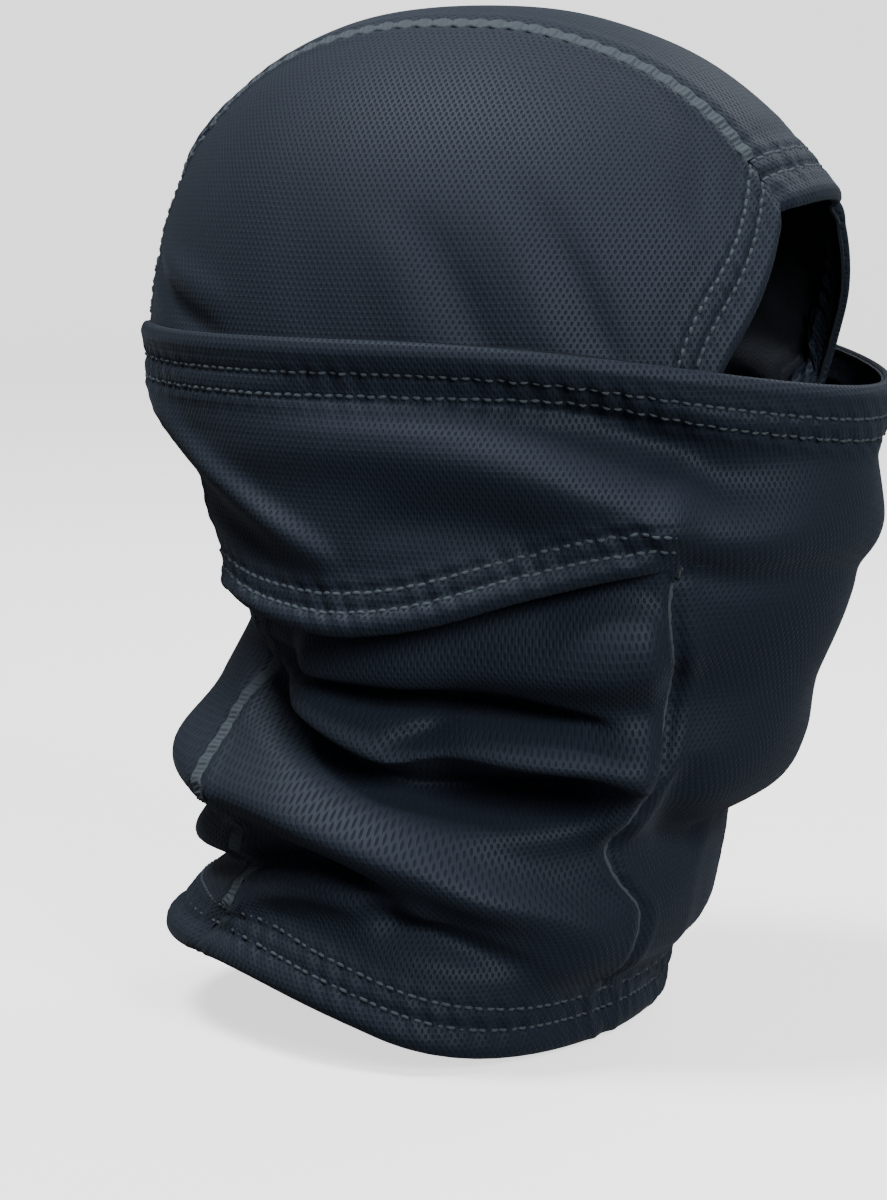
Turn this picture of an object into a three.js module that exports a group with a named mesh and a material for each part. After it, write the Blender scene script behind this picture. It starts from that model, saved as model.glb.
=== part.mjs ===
// Fleece-lined knit balaclava with a pull-down mask, shaped as it is worn on a head.
// Millimetres, +Z up, the face towards -Y and the wearer's right towards -X.
// The origin is the centre of the head that holds it, midway between the ears.
import * as THREE from 'three';
import { ParametricGeometry } from 'three/addons/geometries/ParametricGeometry.js';
import { mergeVertices } from 'three/addons/utils/BufferGeometryUtils.js';

// ---- driving dimensions ----
const HOOD_HALF_WIDTH = 80; // widest half of the hood, at the temples
const HOOD_BACK = 100; // head centre to the back of the hood
const HOOD_FRONT = 117; // head centre to the brow line, carried down to the temples
const HOOD_WIDEST_Z = 20; // level where the hood is widest
const CROWN_RISE = 107; // from that level to the top of the crown
const BACK_ROUNDNESS = 2.4; // 2 is an ellipse, more is squarer
const FRONT_ROUNDNESS = 2.15;
const CLOTH = 1.4; // fleece-backed knit, one layer
const HEM_LAYER = 0.9; // the turned-in layer of a hem, pressed by its stitches
const THREAD = 0.5; // height of a stitch row or a flatlock seam above the cloth
const GAP = 0.3; // between pieces that meet edge to edge
const LAYER_GAP = 0.9; // between layers that lie on each other
const SEAM_GAP = 1.2; // between panels, covered by the flatlock seam

const STRIP_HALF_WIDTH = 27; // centre strip from the brow over the crown to the neck
const BROW_ANGLE = 29; // where the brow edge lies on the hood's profile, degrees above level
const CORNER_ANGLE = 140; // where a side panel's upper back corner lies on the same profile
const FRONT_SEAM_ANGLE = 40; // from the middle of the face to the seam of the front panel
const FACE_EDGE = [[-84, 40], [-74, 10], [-68, -14]]; // y, z down the edge of the face opening
const JUNCTION_Z = -28; // where the face opening meets the front panel's seam

const MASK_CLEARANCE = 5.8; // from the hood's or neck's surface to the mask's
const MASK_FRONT = [[-34, 113], [-16, 119], [6, 123], [36, 123]]; // z, distance ahead of the head centre
const MASK_TOP_Z = 36; // top edge of the mask at the back of the head
const MASK_TOP_FALL = 14; // how much lower it lies on the nose
const MASK_BOTTOM_Z = -24; // lower edge of the mask in front
const WING_DROP = 18; // how much lower the free edge hangs at the side
const WING_END_ANGLE = 156; // from the middle of the face to the end sewn to the nape seam

const HEM_BACK_Z = -141; // bottom edge of the neck, at the back
const HEM_FRONT_Z = -163; // and in front
const HEM_SLOPE = [-50, 60]; // y where the bottom edge starts and stops rising towards the back
const TOP_HEM_WIDTH = 15;
const FACE_HEM_WIDTH = 16;
const WING_HEM_WIDTH = 12;
const NECK_HEM_WIDTH = 14;
const FACE_ROW = 10; // outer needle row from the edge of the face opening
const TOP_ROW = 9; // upper needle row from the mask's top edge
const WING_ROW = 6.5; // lower needle row from the wing's edge
const NECK_ROW = 8; // lower needle row from the bottom edge
const ROW_SPACING = 6.5; // between the two needle rows of the face, brow and mask hems
const WING_ROW_SPACING = 5;
const NECK_ROW_SPACING = 6;
const ROW_WIDTH = 1.2;
const SEAM_WIDTH = 4.5; // flatlock seam

// Neck sections from the hood down to the bottom hem: z, half width, back, front.
const NECK = [
  [-170, 80, 97, 46],
  [-146, 80, 97, 54],
  [-134, 78, 92, 60],
  [-116, 73, 84, 61],
  [-100, 71, 85, 62],
  [-85, 69, 87, 68],
  [-62, 68, 76, 84],
  [-40, 70, 70, 97],
  [-10, 75, 83, 108],
  [HOOD_WIDEST_Z, HOOD_HALF_WIDTH, HOOD_BACK, HOOD_FRONT],
];

const rad = THREE.MathUtils.degToRad;
const { lerp, clamp } = THREE.MathUtils;

// ---- surfaces ----

// A smooth curve through [input, value, ...] rows, read at one input.
function along(rows, column, at) {
  const last = rows.length - 1;
  const x = clamp(at, rows[0][0], rows[last][0]);
  let i = 0;
  while (i < last - 1 && x > rows[i + 1][0]) i += 1;
  const slope = (k) => {
    const a = rows[Math.max(k - 1, 0)];
    const b = rows[Math.min(k + 1, last)];
    return (b[column] - a[column]) / (b[0] - a[0]);
  };
  const h = rows[i + 1][0] - rows[i][0];
  const t = (x - rows[i][0]) / h;
  const [t2, t3] = [t * t, t * t * t];
  return (2 * t3 - 3 * t2 + 1) * rows[i][column] + (t3 - 2 * t2 + t) * h * slope(i)
    + (3 * t2 - 2 * t3) * rows[i + 1][column] + (t3 - t2) * h * slope(i + 1);
}

const neckWidth = (z) => along(NECK, 1, z);
const neckBack = (z) => along(NECK, 2, z);
const neckFront = (z) => along(NECK, 3, z);

// A point of the hood: angle runs from the face over the crown to the back, x is across.
function hoodPoint(angle, x) {
  const shrink = Math.sqrt(1 - (x / HOOD_HALF_WIDTH) ** 2);
  const [c, s] = [Math.cos(rad(angle)), Math.sin(rad(angle))];
  const [reach, power] = c > 0 ? [HOOD_FRONT, 2 / FRONT_ROUNDNESS] : [HOOD_BACK, 2 / BACK_ROUNDNESS];
  return new THREE.Vector3(
    x,
    -reach * shrink * Math.sign(c) * Math.abs(c) ** power,
    HOOD_WIDEST_Z + CROWN_RISE * shrink * Math.abs(s) ** power,
  );
}

// The half width of hood or neck at a point of the side view, so that the cloth is a height
// over the plane x = 0.
function halfWidth(y, z) {
  if (z < HOOD_WIDEST_Z) {
    const share = y / (y < 0 ? neckFront(z) : neckBack(z));
    return neckWidth(z) * Math.sqrt(Math.max(1 - share * share, 0));
  }
  const [reach, n] = y < 0 ? [HOOD_FRONT, FRONT_ROUNDNESS] : [HOOD_BACK, BACK_ROUNDNESS];
  const share = (Math.abs(y) / reach) ** n + ((z - HOOD_WIDEST_Z) / CROWN_RISE) ** n;
  return HOOD_HALF_WIDTH * Math.sqrt(Math.max(1 - share ** (2 / n), 0));
}

// Neck point: angle from the middle of the face, positive on the wearer's right.
function neckPoint(angle, z) {
  const [c, s] = [Math.cos(rad(angle)), Math.sin(rad(angle))];
  return new THREE.Vector3(-neckWidth(z) * s, -(c > 0 ? neckFront(z) : neckBack(z)) * c, z);
}

const hemZ = (y) => lerp(HEM_FRONT_Z, HEM_BACK_Z, THREE.MathUtils.smoothstep(y, ...HEM_SLOPE));
const backSeamY = (z) => neckBack(z) * Math.sqrt(1 - (STRIP_HALF_WIDTH / neckWidth(z)) ** 2);
const backHemZ = hemZ(HOOD_BACK);
const frontSeamY = (z) => neckPoint(FRONT_SEAM_ANGLE, z).y;
const seamEdge = STRIP_HALF_WIDTH + SEAM_GAP / 2;

// Centre strip: u across, v from the brow over the crown and down to the bottom hem.
const CROWN_SHARE = 0.6; // share of the strip's length that lies on the hood
function stripPoint(u, v) {
  const x = lerp(-1, 1, u) * (STRIP_HALF_WIDTH - SEAM_GAP / 2);
  if (v < CROWN_SHARE) return hoodPoint(lerp(BROW_ANGLE, 180, v / CROWN_SHARE), x);
  const z = lerp(HOOD_WIDEST_Z, backHemZ, (v - CROWN_SHARE) / (1 - CROWN_SHARE));
  return new THREE.Vector3(x, neckBack(z) * Math.sqrt(1 - (x / neckWidth(z)) ** 2), z);
}

// Side panel: a patch between its four edges, drawn in the side view and lifted to the body.
const flat = (p) => new THREE.Vector2(p.y, p.z);
const browCorner = flat(hoodPoint(BROW_ANGLE, seamEdge));
const junction = new THREE.Vector2(frontSeamY(JUNCTION_Z), JUNCTION_Z);
const faceCurve = new THREE.CatmullRomCurve3(
  [browCorner, ...FACE_EDGE.map(([y, z]) => new THREE.Vector2(y, z)), junction]
    .map((p) => new THREE.Vector3(0, p.x, p.y)),
);
const FACE_SHARE = 0.5; // share of the front edge that borders the face opening
function frontEdge(v) {
  if (v < FACE_SHARE) return flat(faceCurve.getPointAt(v / FACE_SHARE));
  const z = lerp(JUNCTION_Z, hemZ(frontSeamY(HEM_FRONT_Z)), (v - FACE_SHARE) / (1 - FACE_SHARE));
  return new THREE.Vector2(frontSeamY(z), z);
}
const CORNER_SHARE = 0.3; // share of the back edge that lies on the hood
function backEdge(v) {
  if (v < CORNER_SHARE) return flat(hoodPoint(lerp(CORNER_ANGLE, 180, v / CORNER_SHARE), seamEdge));
  const z = lerp(HOOD_WIDEST_Z, backHemZ, (v - CORNER_SHARE) / (1 - CORNER_SHARE));
  return new THREE.Vector2(backSeamY(z), z);
}
const topEdge = (u) => flat(hoodPoint(lerp(BROW_ANGLE, CORNER_ANGLE, u), seamEdge));
function bottomEdge(u) {
  const y = lerp(frontEdge(1).x, backEdge(1).x, u);
  return new THREE.Vector2(y, hemZ(y));
}
function sidePoint(u, v) {
  const p = new THREE.Vector2();
  p.addScaledVector(topEdge(u), 1 - v).addScaledVector(bottomEdge(u), v);
  p.addScaledVector(frontEdge(v), 1 - u).addScaledVector(backEdge(v), u);
  p.addScaledVector(topEdge(0), -(1 - u) * (1 - v)).addScaledVector(topEdge(1), -u * (1 - v));
  p.addScaledVector(bottomEdge(0), -(1 - u) * v).addScaledVector(bottomEdge(1), -u * v);
  return new THREE.Vector3(-halfWidth(p.x, p.y), p.x, p.y);
}

// Front panel below the mask: chin and throat.
const PANEL_TRIM = 1.2; // degrees, so that the panel stops short of its seams
function frontPoint(u, v) {
  const reach = FRONT_SEAM_ANGLE - PANEL_TRIM;
  const angle = lerp(reach, -reach, u);
  const top = MASK_BOTTOM_Z - GAP - CLOTH;
  const low = hemZ(neckPoint(angle, HEM_FRONT_Z).y);
  return neckPoint(angle, lerp(top, low, v));
}

// Mask: u from the right nape seam round the face to the left one, v from its top edge down.
function maskSurface(angle, z) {
  const [c, s] = [Math.cos(rad(angle)), Math.sin(rad(angle))];
  const wide = Math.max(neckWidth(z), HOOD_HALF_WIDTH - 1) + MASK_CLEARANCE;
  const reach = c > 0 ? along(MASK_FRONT, 1, z) : neckBack(z) + MASK_CLEARANCE;
  return new THREE.Vector3(-wide * s, -reach * c, z);
}
const maskTop = (angle) => MASK_TOP_Z - MASK_TOP_FALL * Math.max(Math.cos(rad(angle)), 0) ** 2;
const wingShare = (angle) => {
  const t = clamp((Math.abs(angle) - FRONT_SEAM_ANGLE) / (WING_END_ANGLE - FRONT_SEAM_ANGLE), 0, 1);
  return Math.sin(Math.PI * t ** 0.8);
};
const maskLow = (angle) => MASK_BOTTOM_Z - WING_DROP * wingShare(angle);
function maskPoint(u, v) {
  const angle = lerp(WING_END_ANGLE, -WING_END_ANGLE, u);
  return maskSurface(angle, lerp(maskTop(angle), maskLow(angle), v));
}

// The bottom ring of the neck: u once round, v up from the bottom edge.
function ringPoint(u, v, lift) {
  const angle = 360 * u;
  const low = hemZ(neckPoint(angle, HEM_FRONT_Z).y);
  return neckPoint(angle, low + lift + v);
}

// ---- solids ----

const mirror = (at) => (u, v) => at(u, v).multiply(new THREE.Vector3(-1, 1, 1));
const part = (at, u0, u1, v0, v1) => (u, v) => at(lerp(u0, u1, u), lerp(v0, v1, v));

// Moves a surface point outwards from the body's axis by a distance along the surface normal.
function lifted(at, u, v, distance) {
  const step = 1e-3;
  const p = at(u, v);
  const du = at(Math.min(u + step, 1), v).sub(at(Math.max(u - step, 0), v));
  const dv = at(u, Math.min(v + step, 1)).sub(at(u, Math.max(v - step, 0)));
  const normal = du.cross(dv).normalize();
  if (normal.dot(new THREE.Vector3(p.x, p.y, Math.max(p.z - HOOD_WIDEST_Z, 0))) < 0) normal.negate();
  return p.addScaledVector(normal, distance);
}

// Closed geometry: merged vertices, no empty triangles, faces pointing out.
function closed(geometry) {
  geometry.deleteAttribute('normal');
  geometry.deleteAttribute('uv');
  const merged = mergeVertices(geometry, 1e-4);
  const kept = [];
  const index = merged.index.array;
  for (let i = 0; i < index.length; i += 3) {
    const [a, b, c] = [index[i], index[i + 1], index[i + 2]];
    if (a !== b && b !== c && c !== a) kept.push(a, b, c);
  }
  const position = merged.attributes.position;
  const corner = (i) => new THREE.Vector3().fromBufferAttribute(position, i);
  let volume = 0;
  for (let i = 0; i < kept.length; i += 3) {
    volume += corner(kept[i]).dot(corner(kept[i + 1]).cross(corner(kept[i + 2])));
  }
  if (volume < 0) kept.reverse();
  merged.setIndex(kept);
  merged.computeVertexNormals();
  return merged;
}

// A sheet of cloth over a patch, from one height above its surface to another.
function sheet(at, across, down, low, high) {
  const slices = 2 * across + 2;
  const stacks = down + 2;
  const middle = (low + high) / 2;
  return closed(new ParametricGeometry((s, t, target) => {
    const i = Math.round(s * slices) % slices;
    const j = Math.round(t * stacks);
    const outside = i <= across;
    const u = (outside ? i : 2 * across + 1 - i) / across;
    const v = clamp((j - 1) / down, 0, 1);
    const end = j === 0 || j === stacks;
    target.copy(lifted(at, u, v, end ? middle : outside ? high : low));
  }, slices, stacks));
}

// A closed ring of cloth at the bottom of the neck.
function ring(steps, width, lift, low, high) {
  const corners = [[0, low], [0, high], [width, high], [width, low]];
  return closed(new ParametricGeometry((s, t, target) => {
    const i = Math.round(s * steps) % steps;
    const [v, height] = corners[Math.round(t * corners.length) % corners.length];
    const p = ringPoint(i / steps, v, lift);
    const out = new THREE.Vector3(p.x, p.y, 0).normalize();
    target.copy(p.addScaledVector(out, height));
  }, steps, corners.length));
}

// ---- materials ----
const paint = (color, roughness) => new THREE.MeshStandardMaterial({ color, roughness, metalness: 0 });
const KNIT = '#262d38';
const HEM = '#1f2631';
const SEAM = '#3a434f';

const balaclava = new THREE.Group();
const neckBody = new THREE.Group();
const maskBody = new THREE.Group();
balaclava.add(neckBody, maskBody);

function add(group, name, geometry, color) {
  const mesh = new THREE.Mesh(geometry, paint(color, 0.85));
  mesh.name = name;
  group.add(mesh);
}

// ---- heights above the body surface ----
const half = CLOTH / 2;
const hemTop = -half - LAYER_GAP;
const hemLow = hemTop - HEM_LAYER;
const threadLow = half + LAYER_GAP;
const threadTop = threadLow + THREAD;

// A narrow band over a patch: centred at one patch coordinate and running along the other.
function band(at, across, centre, width, length, from, to) {
  const reach = width / length / 2;
  return across === 'u'
    ? part(at, centre - reach, centre + reach, from, to)
    : part(at, from, to, centre - reach, centre + reach);
}

// ---- hood and neck ----
const PATCH_WIDTH = 180; // side panel from its front edge to its back edge
const PATCH_HEIGHT = 250; // side panel from the crown seam to the bottom hem
const STRIP_LENGTH = 440; // centre strip from the brow to the bottom hem
// Facets along the pieces.
const STRIP_STEPS = 6;
const FACE_STEPS = 14;
const CROWN_STEPS = 26;
const NAPE_STEPS = 16;

add(neckBody, 'centre_strip', sheet(stripPoint, STRIP_STEPS, 44, -half, half), KNIT);
add(neckBody, 'front_panel', sheet(frontPoint, 8, 12, -half, half), KNIT);

const faceHem = FACE_HEM_WIDTH / PATCH_WIDTH;
const seamBand = SEAM_WIDTH / 2;

// A seam band centred on the strip's edge, between two shares of the strip's length.
const overSeam = (from, to) => (u, v) => {
  const x = -STRIP_HALF_WIDTH + lerp(-seamBand, seamBand, u);
  const t = lerp(from, to, v);
  if (t < CROWN_SHARE) return hoodPoint(lerp(BROW_ANGLE, 180, t / CROWN_SHARE), x);
  const z = lerp(HOOD_WIDEST_Z, backHemZ, (t - CROWN_SHARE) / (1 - CROWN_SHARE));
  return new THREE.Vector3(x, neckBack(z) * Math.sqrt(1 - (x / neckWidth(z)) ** 2), z);
};
const frontSeamLow = hemZ(frontSeamY(HEM_FRONT_Z)) + NECK_HEM_WIDTH + 2 * ROW_WIDTH;
const overFrontSeam = (u, v) => {
  const z = lerp(JUNCTION_Z - SEAM_WIDTH, frontSeamLow, v);
  const spread = THREE.MathUtils.radToDeg(SEAM_WIDTH / 2 / neckWidth(z));
  return neckPoint(lerp(FRONT_SEAM_ANGLE + spread, FRONT_SEAM_ANGLE - spread, u), z);
};
// Shares of the strip's length: the seams run between the stitches of the brow and bottom hems.
const SEAM_START = 0.045;
const SEAM_END = 0.955;
const SEAM_BREAK = 0.63; // where the crown seam ends and the nape seam starts
const BREAK_GAP = 0.002;
// Shares of a patch by which hems and needle rows stop short of its other edges.
const HEM_INSET = 0.004;
const HEM_END_INSET = 0.01;
const FACE_ROW_INSET = 0.012;
const FACE_ROW_LOW = 0.02; // at the junction with the front panel's seam
const BROW_HEM_INSET = 0.02;
const BROW_EDGE_INSET = 0.002;
const BROW_ROW_INSET = 0.06;

for (const [side, place] of [['right', (at) => at], ['left', mirror]]) {
  const panel = place(sidePoint);
  add(neckBody, `side_panel_${side}`, sheet(panel, 12, 24, -half, half), KNIT);
  add(
    neckBody, `face_hem_${side}`,
    sheet(part(panel, HEM_INSET, faceHem, HEM_END_INSET, FACE_SHARE), 1, FACE_STEPS, hemLow, hemTop),
    HEM,
  );
  add(
    neckBody, `crown_seam_${side}`,
    sheet(place(overSeam(SEAM_START, SEAM_BREAK - BREAK_GAP)), 1, CROWN_STEPS, threadLow, threadTop),
    SEAM,
  );
  add(
    neckBody, `nape_seam_${side}`,
    sheet(place(overSeam(SEAM_BREAK, SEAM_END)), 1, NAPE_STEPS, threadLow, threadTop),
    SEAM,
  );
  add(neckBody, `front_seam_${side}`, sheet(place(overFrontSeam), 1, 10, threadLow, threadTop), SEAM);
  for (const [row, at] of [['outer', FACE_ROW], ['inner', FACE_ROW + ROW_SPACING]]) {
    const stitches = band(
      panel, 'u', at / PATCH_WIDTH, ROW_WIDTH, PATCH_WIDTH,
      FACE_ROW_INSET, FACE_SHARE - FACE_ROW_LOW,
    );
    add(
      neckBody, `face_stitch_${row}_${side}`,
      sheet(stitches, 1, FACE_STEPS, threadLow, threadTop),
      SEAM,
    );
  }
}
const browHem = part(
  stripPoint, BROW_HEM_INSET, 1 - BROW_HEM_INSET,
  BROW_EDGE_INSET, FACE_HEM_WIDTH / STRIP_LENGTH,
);
add(neckBody, 'brow_hem', sheet(browHem, STRIP_STEPS, 1, hemLow, hemTop), HEM);
for (const [row, at] of [['outer', FACE_ROW], ['inner', FACE_ROW + ROW_SPACING]]) {
  const stitches = band(
    stripPoint, 'v', at / STRIP_LENGTH, ROW_WIDTH, STRIP_LENGTH,
    BROW_ROW_INSET, 1 - BROW_ROW_INSET,
  );
  add(neckBody, `brow_stitch_${row}`, sheet(stitches, STRIP_STEPS, 1, threadLow, threadTop), SEAM);
}

const RING_STEPS = 40;
const RING_SLACK = 0.5; // the ring has fewer, longer sides than the panels
const RING_LIFT = 0.2; // the turned-in layer starts just above the panels' edge
const ringHigh = -half - LAYER_GAP - RING_SLACK;
add(
  neckBody, 'neck_hem',
  ring(RING_STEPS, NECK_HEM_WIDTH, RING_LIFT, ringHigh - HEM_LAYER, ringHigh),
  HEM,
);
for (const [row, at] of [['lower', NECK_ROW], ['upper', NECK_ROW + NECK_ROW_SPACING]]) {
  add(
    neckBody, `neck_stitch_${row}`,
    ring(RING_STEPS, ROW_WIDTH, at, threadLow + RING_SLACK, threadTop + RING_SLACK),
    SEAM,
  );
}

// ---- mask ----
const MASK_STEPS = 32;
const WING_STEPS = 12;
add(maskBody, 'mask_panel', sheet(maskPoint, MASK_STEPS, 7, -half, half), KNIT);
const maskHeight = MASK_TOP_Z - MASK_TOP_FALL - MASK_BOTTOM_Z;
const topHem = part(maskPoint, HEM_INSET, 1 - HEM_INSET, HEM_END_INSET, TOP_HEM_WIDTH / maskHeight);
add(maskBody, 'mask_top_hem', sheet(topHem, MASK_STEPS, 1, hemLow, hemTop), HEM);
for (const [row, at] of [['upper', TOP_ROW], ['lower', TOP_ROW + ROW_SPACING]]) {
  const stitches = band(
    maskPoint, 'v', at / maskHeight, ROW_WIDTH, maskHeight,
    HEM_END_INSET, 1 - HEM_END_INSET,
  );
  add(maskBody, `mask_top_stitch_${row}`, sheet(stitches, MASK_STEPS, 1, threadLow, threadTop), SEAM);
}
const wingEnd = (WING_END_ANGLE - FRONT_SEAM_ANGLE) / (2 * WING_END_ANGLE);
for (const [side, place] of [['right', (at) => at], ['left', mirror]]) {
  const wing = place(part(maskPoint, HEM_END_INSET, wingEnd, 0, 1));
  const hem = part(wing, 0, 1, 1 - WING_HEM_WIDTH / maskHeight, 1 - HEM_END_INSET);
  add(maskBody, `wing_hem_${side}`, sheet(hem, WING_STEPS, 1, hemLow, hemTop), HEM);
  for (const [row, at] of [['lower', WING_ROW], ['upper', WING_ROW + WING_ROW_SPACING]]) {
    const stitches = band(wing, 'v', 1 - at / maskHeight, ROW_WIDTH, maskHeight, 0, 1);
    add(
      maskBody, `wing_stitch_${row}_${side}`,
      sheet(stitches, WING_STEPS, 1, threadLow, threadTop),
      SEAM,
    );
  }
}

export default balaclava;
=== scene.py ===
"""Fleece-lined knit balaclava with a pull-down mask: cloth panels, turned hems, flatlock seams
and needle rows built round a fixed frame."""
import math

import bpy
import numpy as np
from bpy.props import FloatProperty, FloatVectorProperty, PointerProperty
from bpy.types import Operator, Panel, PropertyGroup
from mathutils import Matrix, Vector


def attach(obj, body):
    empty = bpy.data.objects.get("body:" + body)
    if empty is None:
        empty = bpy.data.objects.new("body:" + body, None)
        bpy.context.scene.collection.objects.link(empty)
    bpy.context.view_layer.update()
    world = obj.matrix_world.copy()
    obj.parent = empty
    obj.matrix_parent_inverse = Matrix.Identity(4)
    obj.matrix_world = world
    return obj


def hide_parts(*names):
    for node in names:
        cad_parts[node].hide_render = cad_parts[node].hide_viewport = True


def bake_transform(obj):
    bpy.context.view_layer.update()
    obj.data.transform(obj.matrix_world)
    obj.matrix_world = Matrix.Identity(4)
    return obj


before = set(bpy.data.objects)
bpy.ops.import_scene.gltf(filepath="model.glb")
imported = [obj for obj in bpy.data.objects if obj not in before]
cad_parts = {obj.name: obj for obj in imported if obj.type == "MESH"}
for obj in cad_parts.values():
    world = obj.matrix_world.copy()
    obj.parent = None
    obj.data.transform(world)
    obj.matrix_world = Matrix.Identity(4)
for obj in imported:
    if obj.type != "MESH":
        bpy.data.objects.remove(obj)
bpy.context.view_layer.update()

bl_info = {
    "name": "Knit balaclava",
    "version": (1, 0, 0),
    "blender": (4, 5, 0),
    "location": "View3D > Sidebar > Balaclava",
    "description": "Builds a balaclava with folded cloth, hems and seams",
    "category": "Object",
}

MM = 0.001
ROOT, MASK = "neck_and_hood", "mask"

# ---- sizes of the worn shape, in millimetres; +Z up, the face towards -Y ----
HOOD_HALF_WIDTH = 80.0
HOOD_BACK, HOOD_FRONT = 100.0, 117.0
HOOD_WIDEST_Z, CROWN_RISE = 20.0, 107.0
BACK_ROUNDNESS, FRONT_ROUNDNESS = 2.4, 2.15
BROW_ANGLE, CORNER_ANGLE = 29.0, 140.0
JUNCTION_Z = -28.0
HEM_BACK_Z, HEM_FRONT_Z = -141.0, -164.0
HEM_SLOPE = (-50.0, 60.0)  # y where the bottom hem starts and stops rising to the back
TURN = 1.5  # radius of a turned edge
HEM_SMOOTHING = 8  # passes that even out the direction in which a hem is turned in
VALLEY_GAIN, ROLL_GAIN = 1.4, 1.1  # what the neck folds' heights are multiplied by
MASK_FOLD_GAIN = 1.3
SAG = 0.5  # how far a roll of cloth sinks for each millimetre that it stands out
SEAM_WIDTH = 4.5  # ladder seam, and the default of its setting
HOOD_SHARE = 0.6  # share of the centre strip's rows that lie over the hood
CORNER_SHARE, FACE_SHARE = 0.3, 0.46  # shares down a side panel: the nape corner, the face opening
SHORT_REACH = 1e-9  # least length that a vector is divided by

# neck sections: z, half width, back, front
NECK = np.array([
    (-172, 83, 97, 47), (-146, 83, 97, 54), (-136, 81, 93, 62), (-122, 76, 83, 66),
    (-113, 78, 87, 67), (-104, 77, 83, 73), (-92, 78, 88, 88), (-80, 76, 86, 95),
    (-66, 71, 77, 99), (-45, 70, 69, 105), (-10, 75, 83, 111), (20, 80, 100, 117),
], float)
# half width of the back strip: z, width
STRIP = np.array([
    (-172, 62), (-120, 61), (-100, 63), (-85, 61), (-62, 50), (-45, 50),
    (0, 41), (20, 33), (60, 27), (130, 25),
], float)
# angle of the front panel's seam from the middle: z, degrees
FRONT_SEAM = np.array([
    (-172, 14), (-158, 17), (-140, 24), (-122, 27), (-104, 38), (-60, 42), (-28, 45),
], float)
# face opening, side view: y, z
FACE_EDGE = np.array([(-97, 48), (-89, 26), (-82, 0)], float)
# mask sections: z, distance ahead of the middle
MASK_FRONT = np.array([(-55, 107), (-34, 111), (-16, 117), (6, 121), (24, 119), (40, 118)], float)
MASK_TOP_Z, MASK_TOP_FALL = 36.0, 14.0
MASK_STAND = 6.2  # how far the mask stands off the hood
MASK_ROOM = 2.8  # least gap from the mask down to the hood under it
MASK_SEWN_STAND = 1.4  # how far it stands off where it is sewn in at the nape
MASK_NAPE_Z = -36.0  # lowest end of the mask's sewn edge
MASK_HALF_WIDTH, MASK_REACH = 85, 118  # rough ellipse that its folds stand square to
# lower edge of the mask: degrees from the middle of the face, z
MASK_LOW = np.array([
    (0, -24), (40, -23), (52, -25), (66, -31), (82, -40), (96, -43), (112, -41), (133, -36),
], float)


# ---- what a user can change ----
class BalaclavaSettings(PropertyGroup):
    """Sizes and colours of the cloth and the threads."""

    knit_colour: FloatVectorProperty(
        name="Knit", description="Colour of the mesh knit", subtype="COLOR", size=3,
        min=0.0, max=1.0, default=(0.0080, 0.0114, 0.0192))
    thread_colour: FloatVectorProperty(
        name="Thread", description="Colour of the seams and needle rows", subtype="COLOR", size=3,
        min=0.0, max=1.0, default=(0.0062, 0.0084, 0.0122))
    fleece_colour: FloatVectorProperty(
        name="Fleece", description="Colour of the brushed inside", subtype="COLOR", size=3,
        min=0.0, max=1.0, default=(0.0080, 0.0100, 0.0140))
    knit_column: FloatProperty(
        name="Dimple spacing", description="Distance across from one dimple of the knit to the next",
        unit="LENGTH", min=0.0005, max=0.01, default=0.0018)
    knit_row: FloatProperty(
        name="Row spacing", description="Distance down from one row of dimples to the next",
        unit="LENGTH", min=0.0005, max=0.01, default=0.0015)
    knit_relief: FloatProperty(
        name="Knit relief", description="Depth of the dimples of the knit",
        unit="LENGTH", min=0.0, max=0.001, default=0.0002)
    cloth_thickness: FloatProperty(
        name="Cloth thickness", description="Thickness of one layer of the panels",
        unit="LENGTH", min=0.0005, max=0.002, default=0.0014)
    hem_thickness: FloatProperty(
        name="Hem thickness", description="Thickness of the layer turned in at a hem",
        unit="LENGTH", min=0.0003, max=0.0012, default=0.0009)
    stitch_length: FloatProperty(
        name="Stitch length", description="Length of one stitch of the needle rows",
        unit="LENGTH", min=0.001, max=0.006, default=0.0027)
    seam_width: FloatProperty(
        name="Seam width", description="Width of the ladder seams beside the centre strip",
        unit="LENGTH", min=0.002, max=0.008, default=SEAM_WIDTH * MM)


class BalaclavaStudio(PropertyGroup):
    """Lights and background of the studio."""

    key_power: FloatProperty(
        name="Key light", description="Power of the large lamp above", unit="POWER",
        min=0.0, max=500.0, default=54.0)
    front_power: FloatProperty(
        name="Front light", description="Power of the soft lamp in front", unit="POWER",
        min=0.0, max=500.0, default=52.0)
    rim_power: FloatProperty(
        name="Rim light", description="Power of the lamp behind", unit="POWER",
        min=0.0, max=500.0, default=14.0)
    sky_strength: FloatProperty(
        name="Surround light", description="Strength of the even light from all round",
        min=0.0, max=5.0, default=0.17)
    paper_glow: FloatProperty(
        name="Background glow", description="Brightness of the background paper's own light",
        min=0.0, max=5.0, default=1.4)


def settings():
    """The cloth settings of this scene."""
    return bpy.context.scene.balaclava


def studio():
    """The studio settings of this scene."""
    return bpy.context.scene.balaclava_studio


# ---- curves and surfaces ----
def read(rows, x, column=1):
    """Smooth curve through rows of (input, value, ...): a cubic with the slope of its neighbours."""
    keys, values = rows[:, 0], rows[:, column]
    x = np.clip(x, keys[0], keys[-1])
    i = np.clip(np.searchsorted(keys, x) - 1, 0, len(keys) - 2)
    slope = np.zeros(len(keys))
    slope[1:-1] = (values[2:] - values[:-2]) / (keys[2:] - keys[:-2])
    step = keys[i + 1] - keys[i]
    t = (x - keys[i]) / step
    return ((2 * t**3 - 3 * t**2 + 1) * values[i] + (t**3 - 2 * t**2 + t) * step * slope[i]
            + (3 * t**2 - 2 * t**3) * values[i + 1] + (t**3 - t**2) * step * slope[i + 1])


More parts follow.
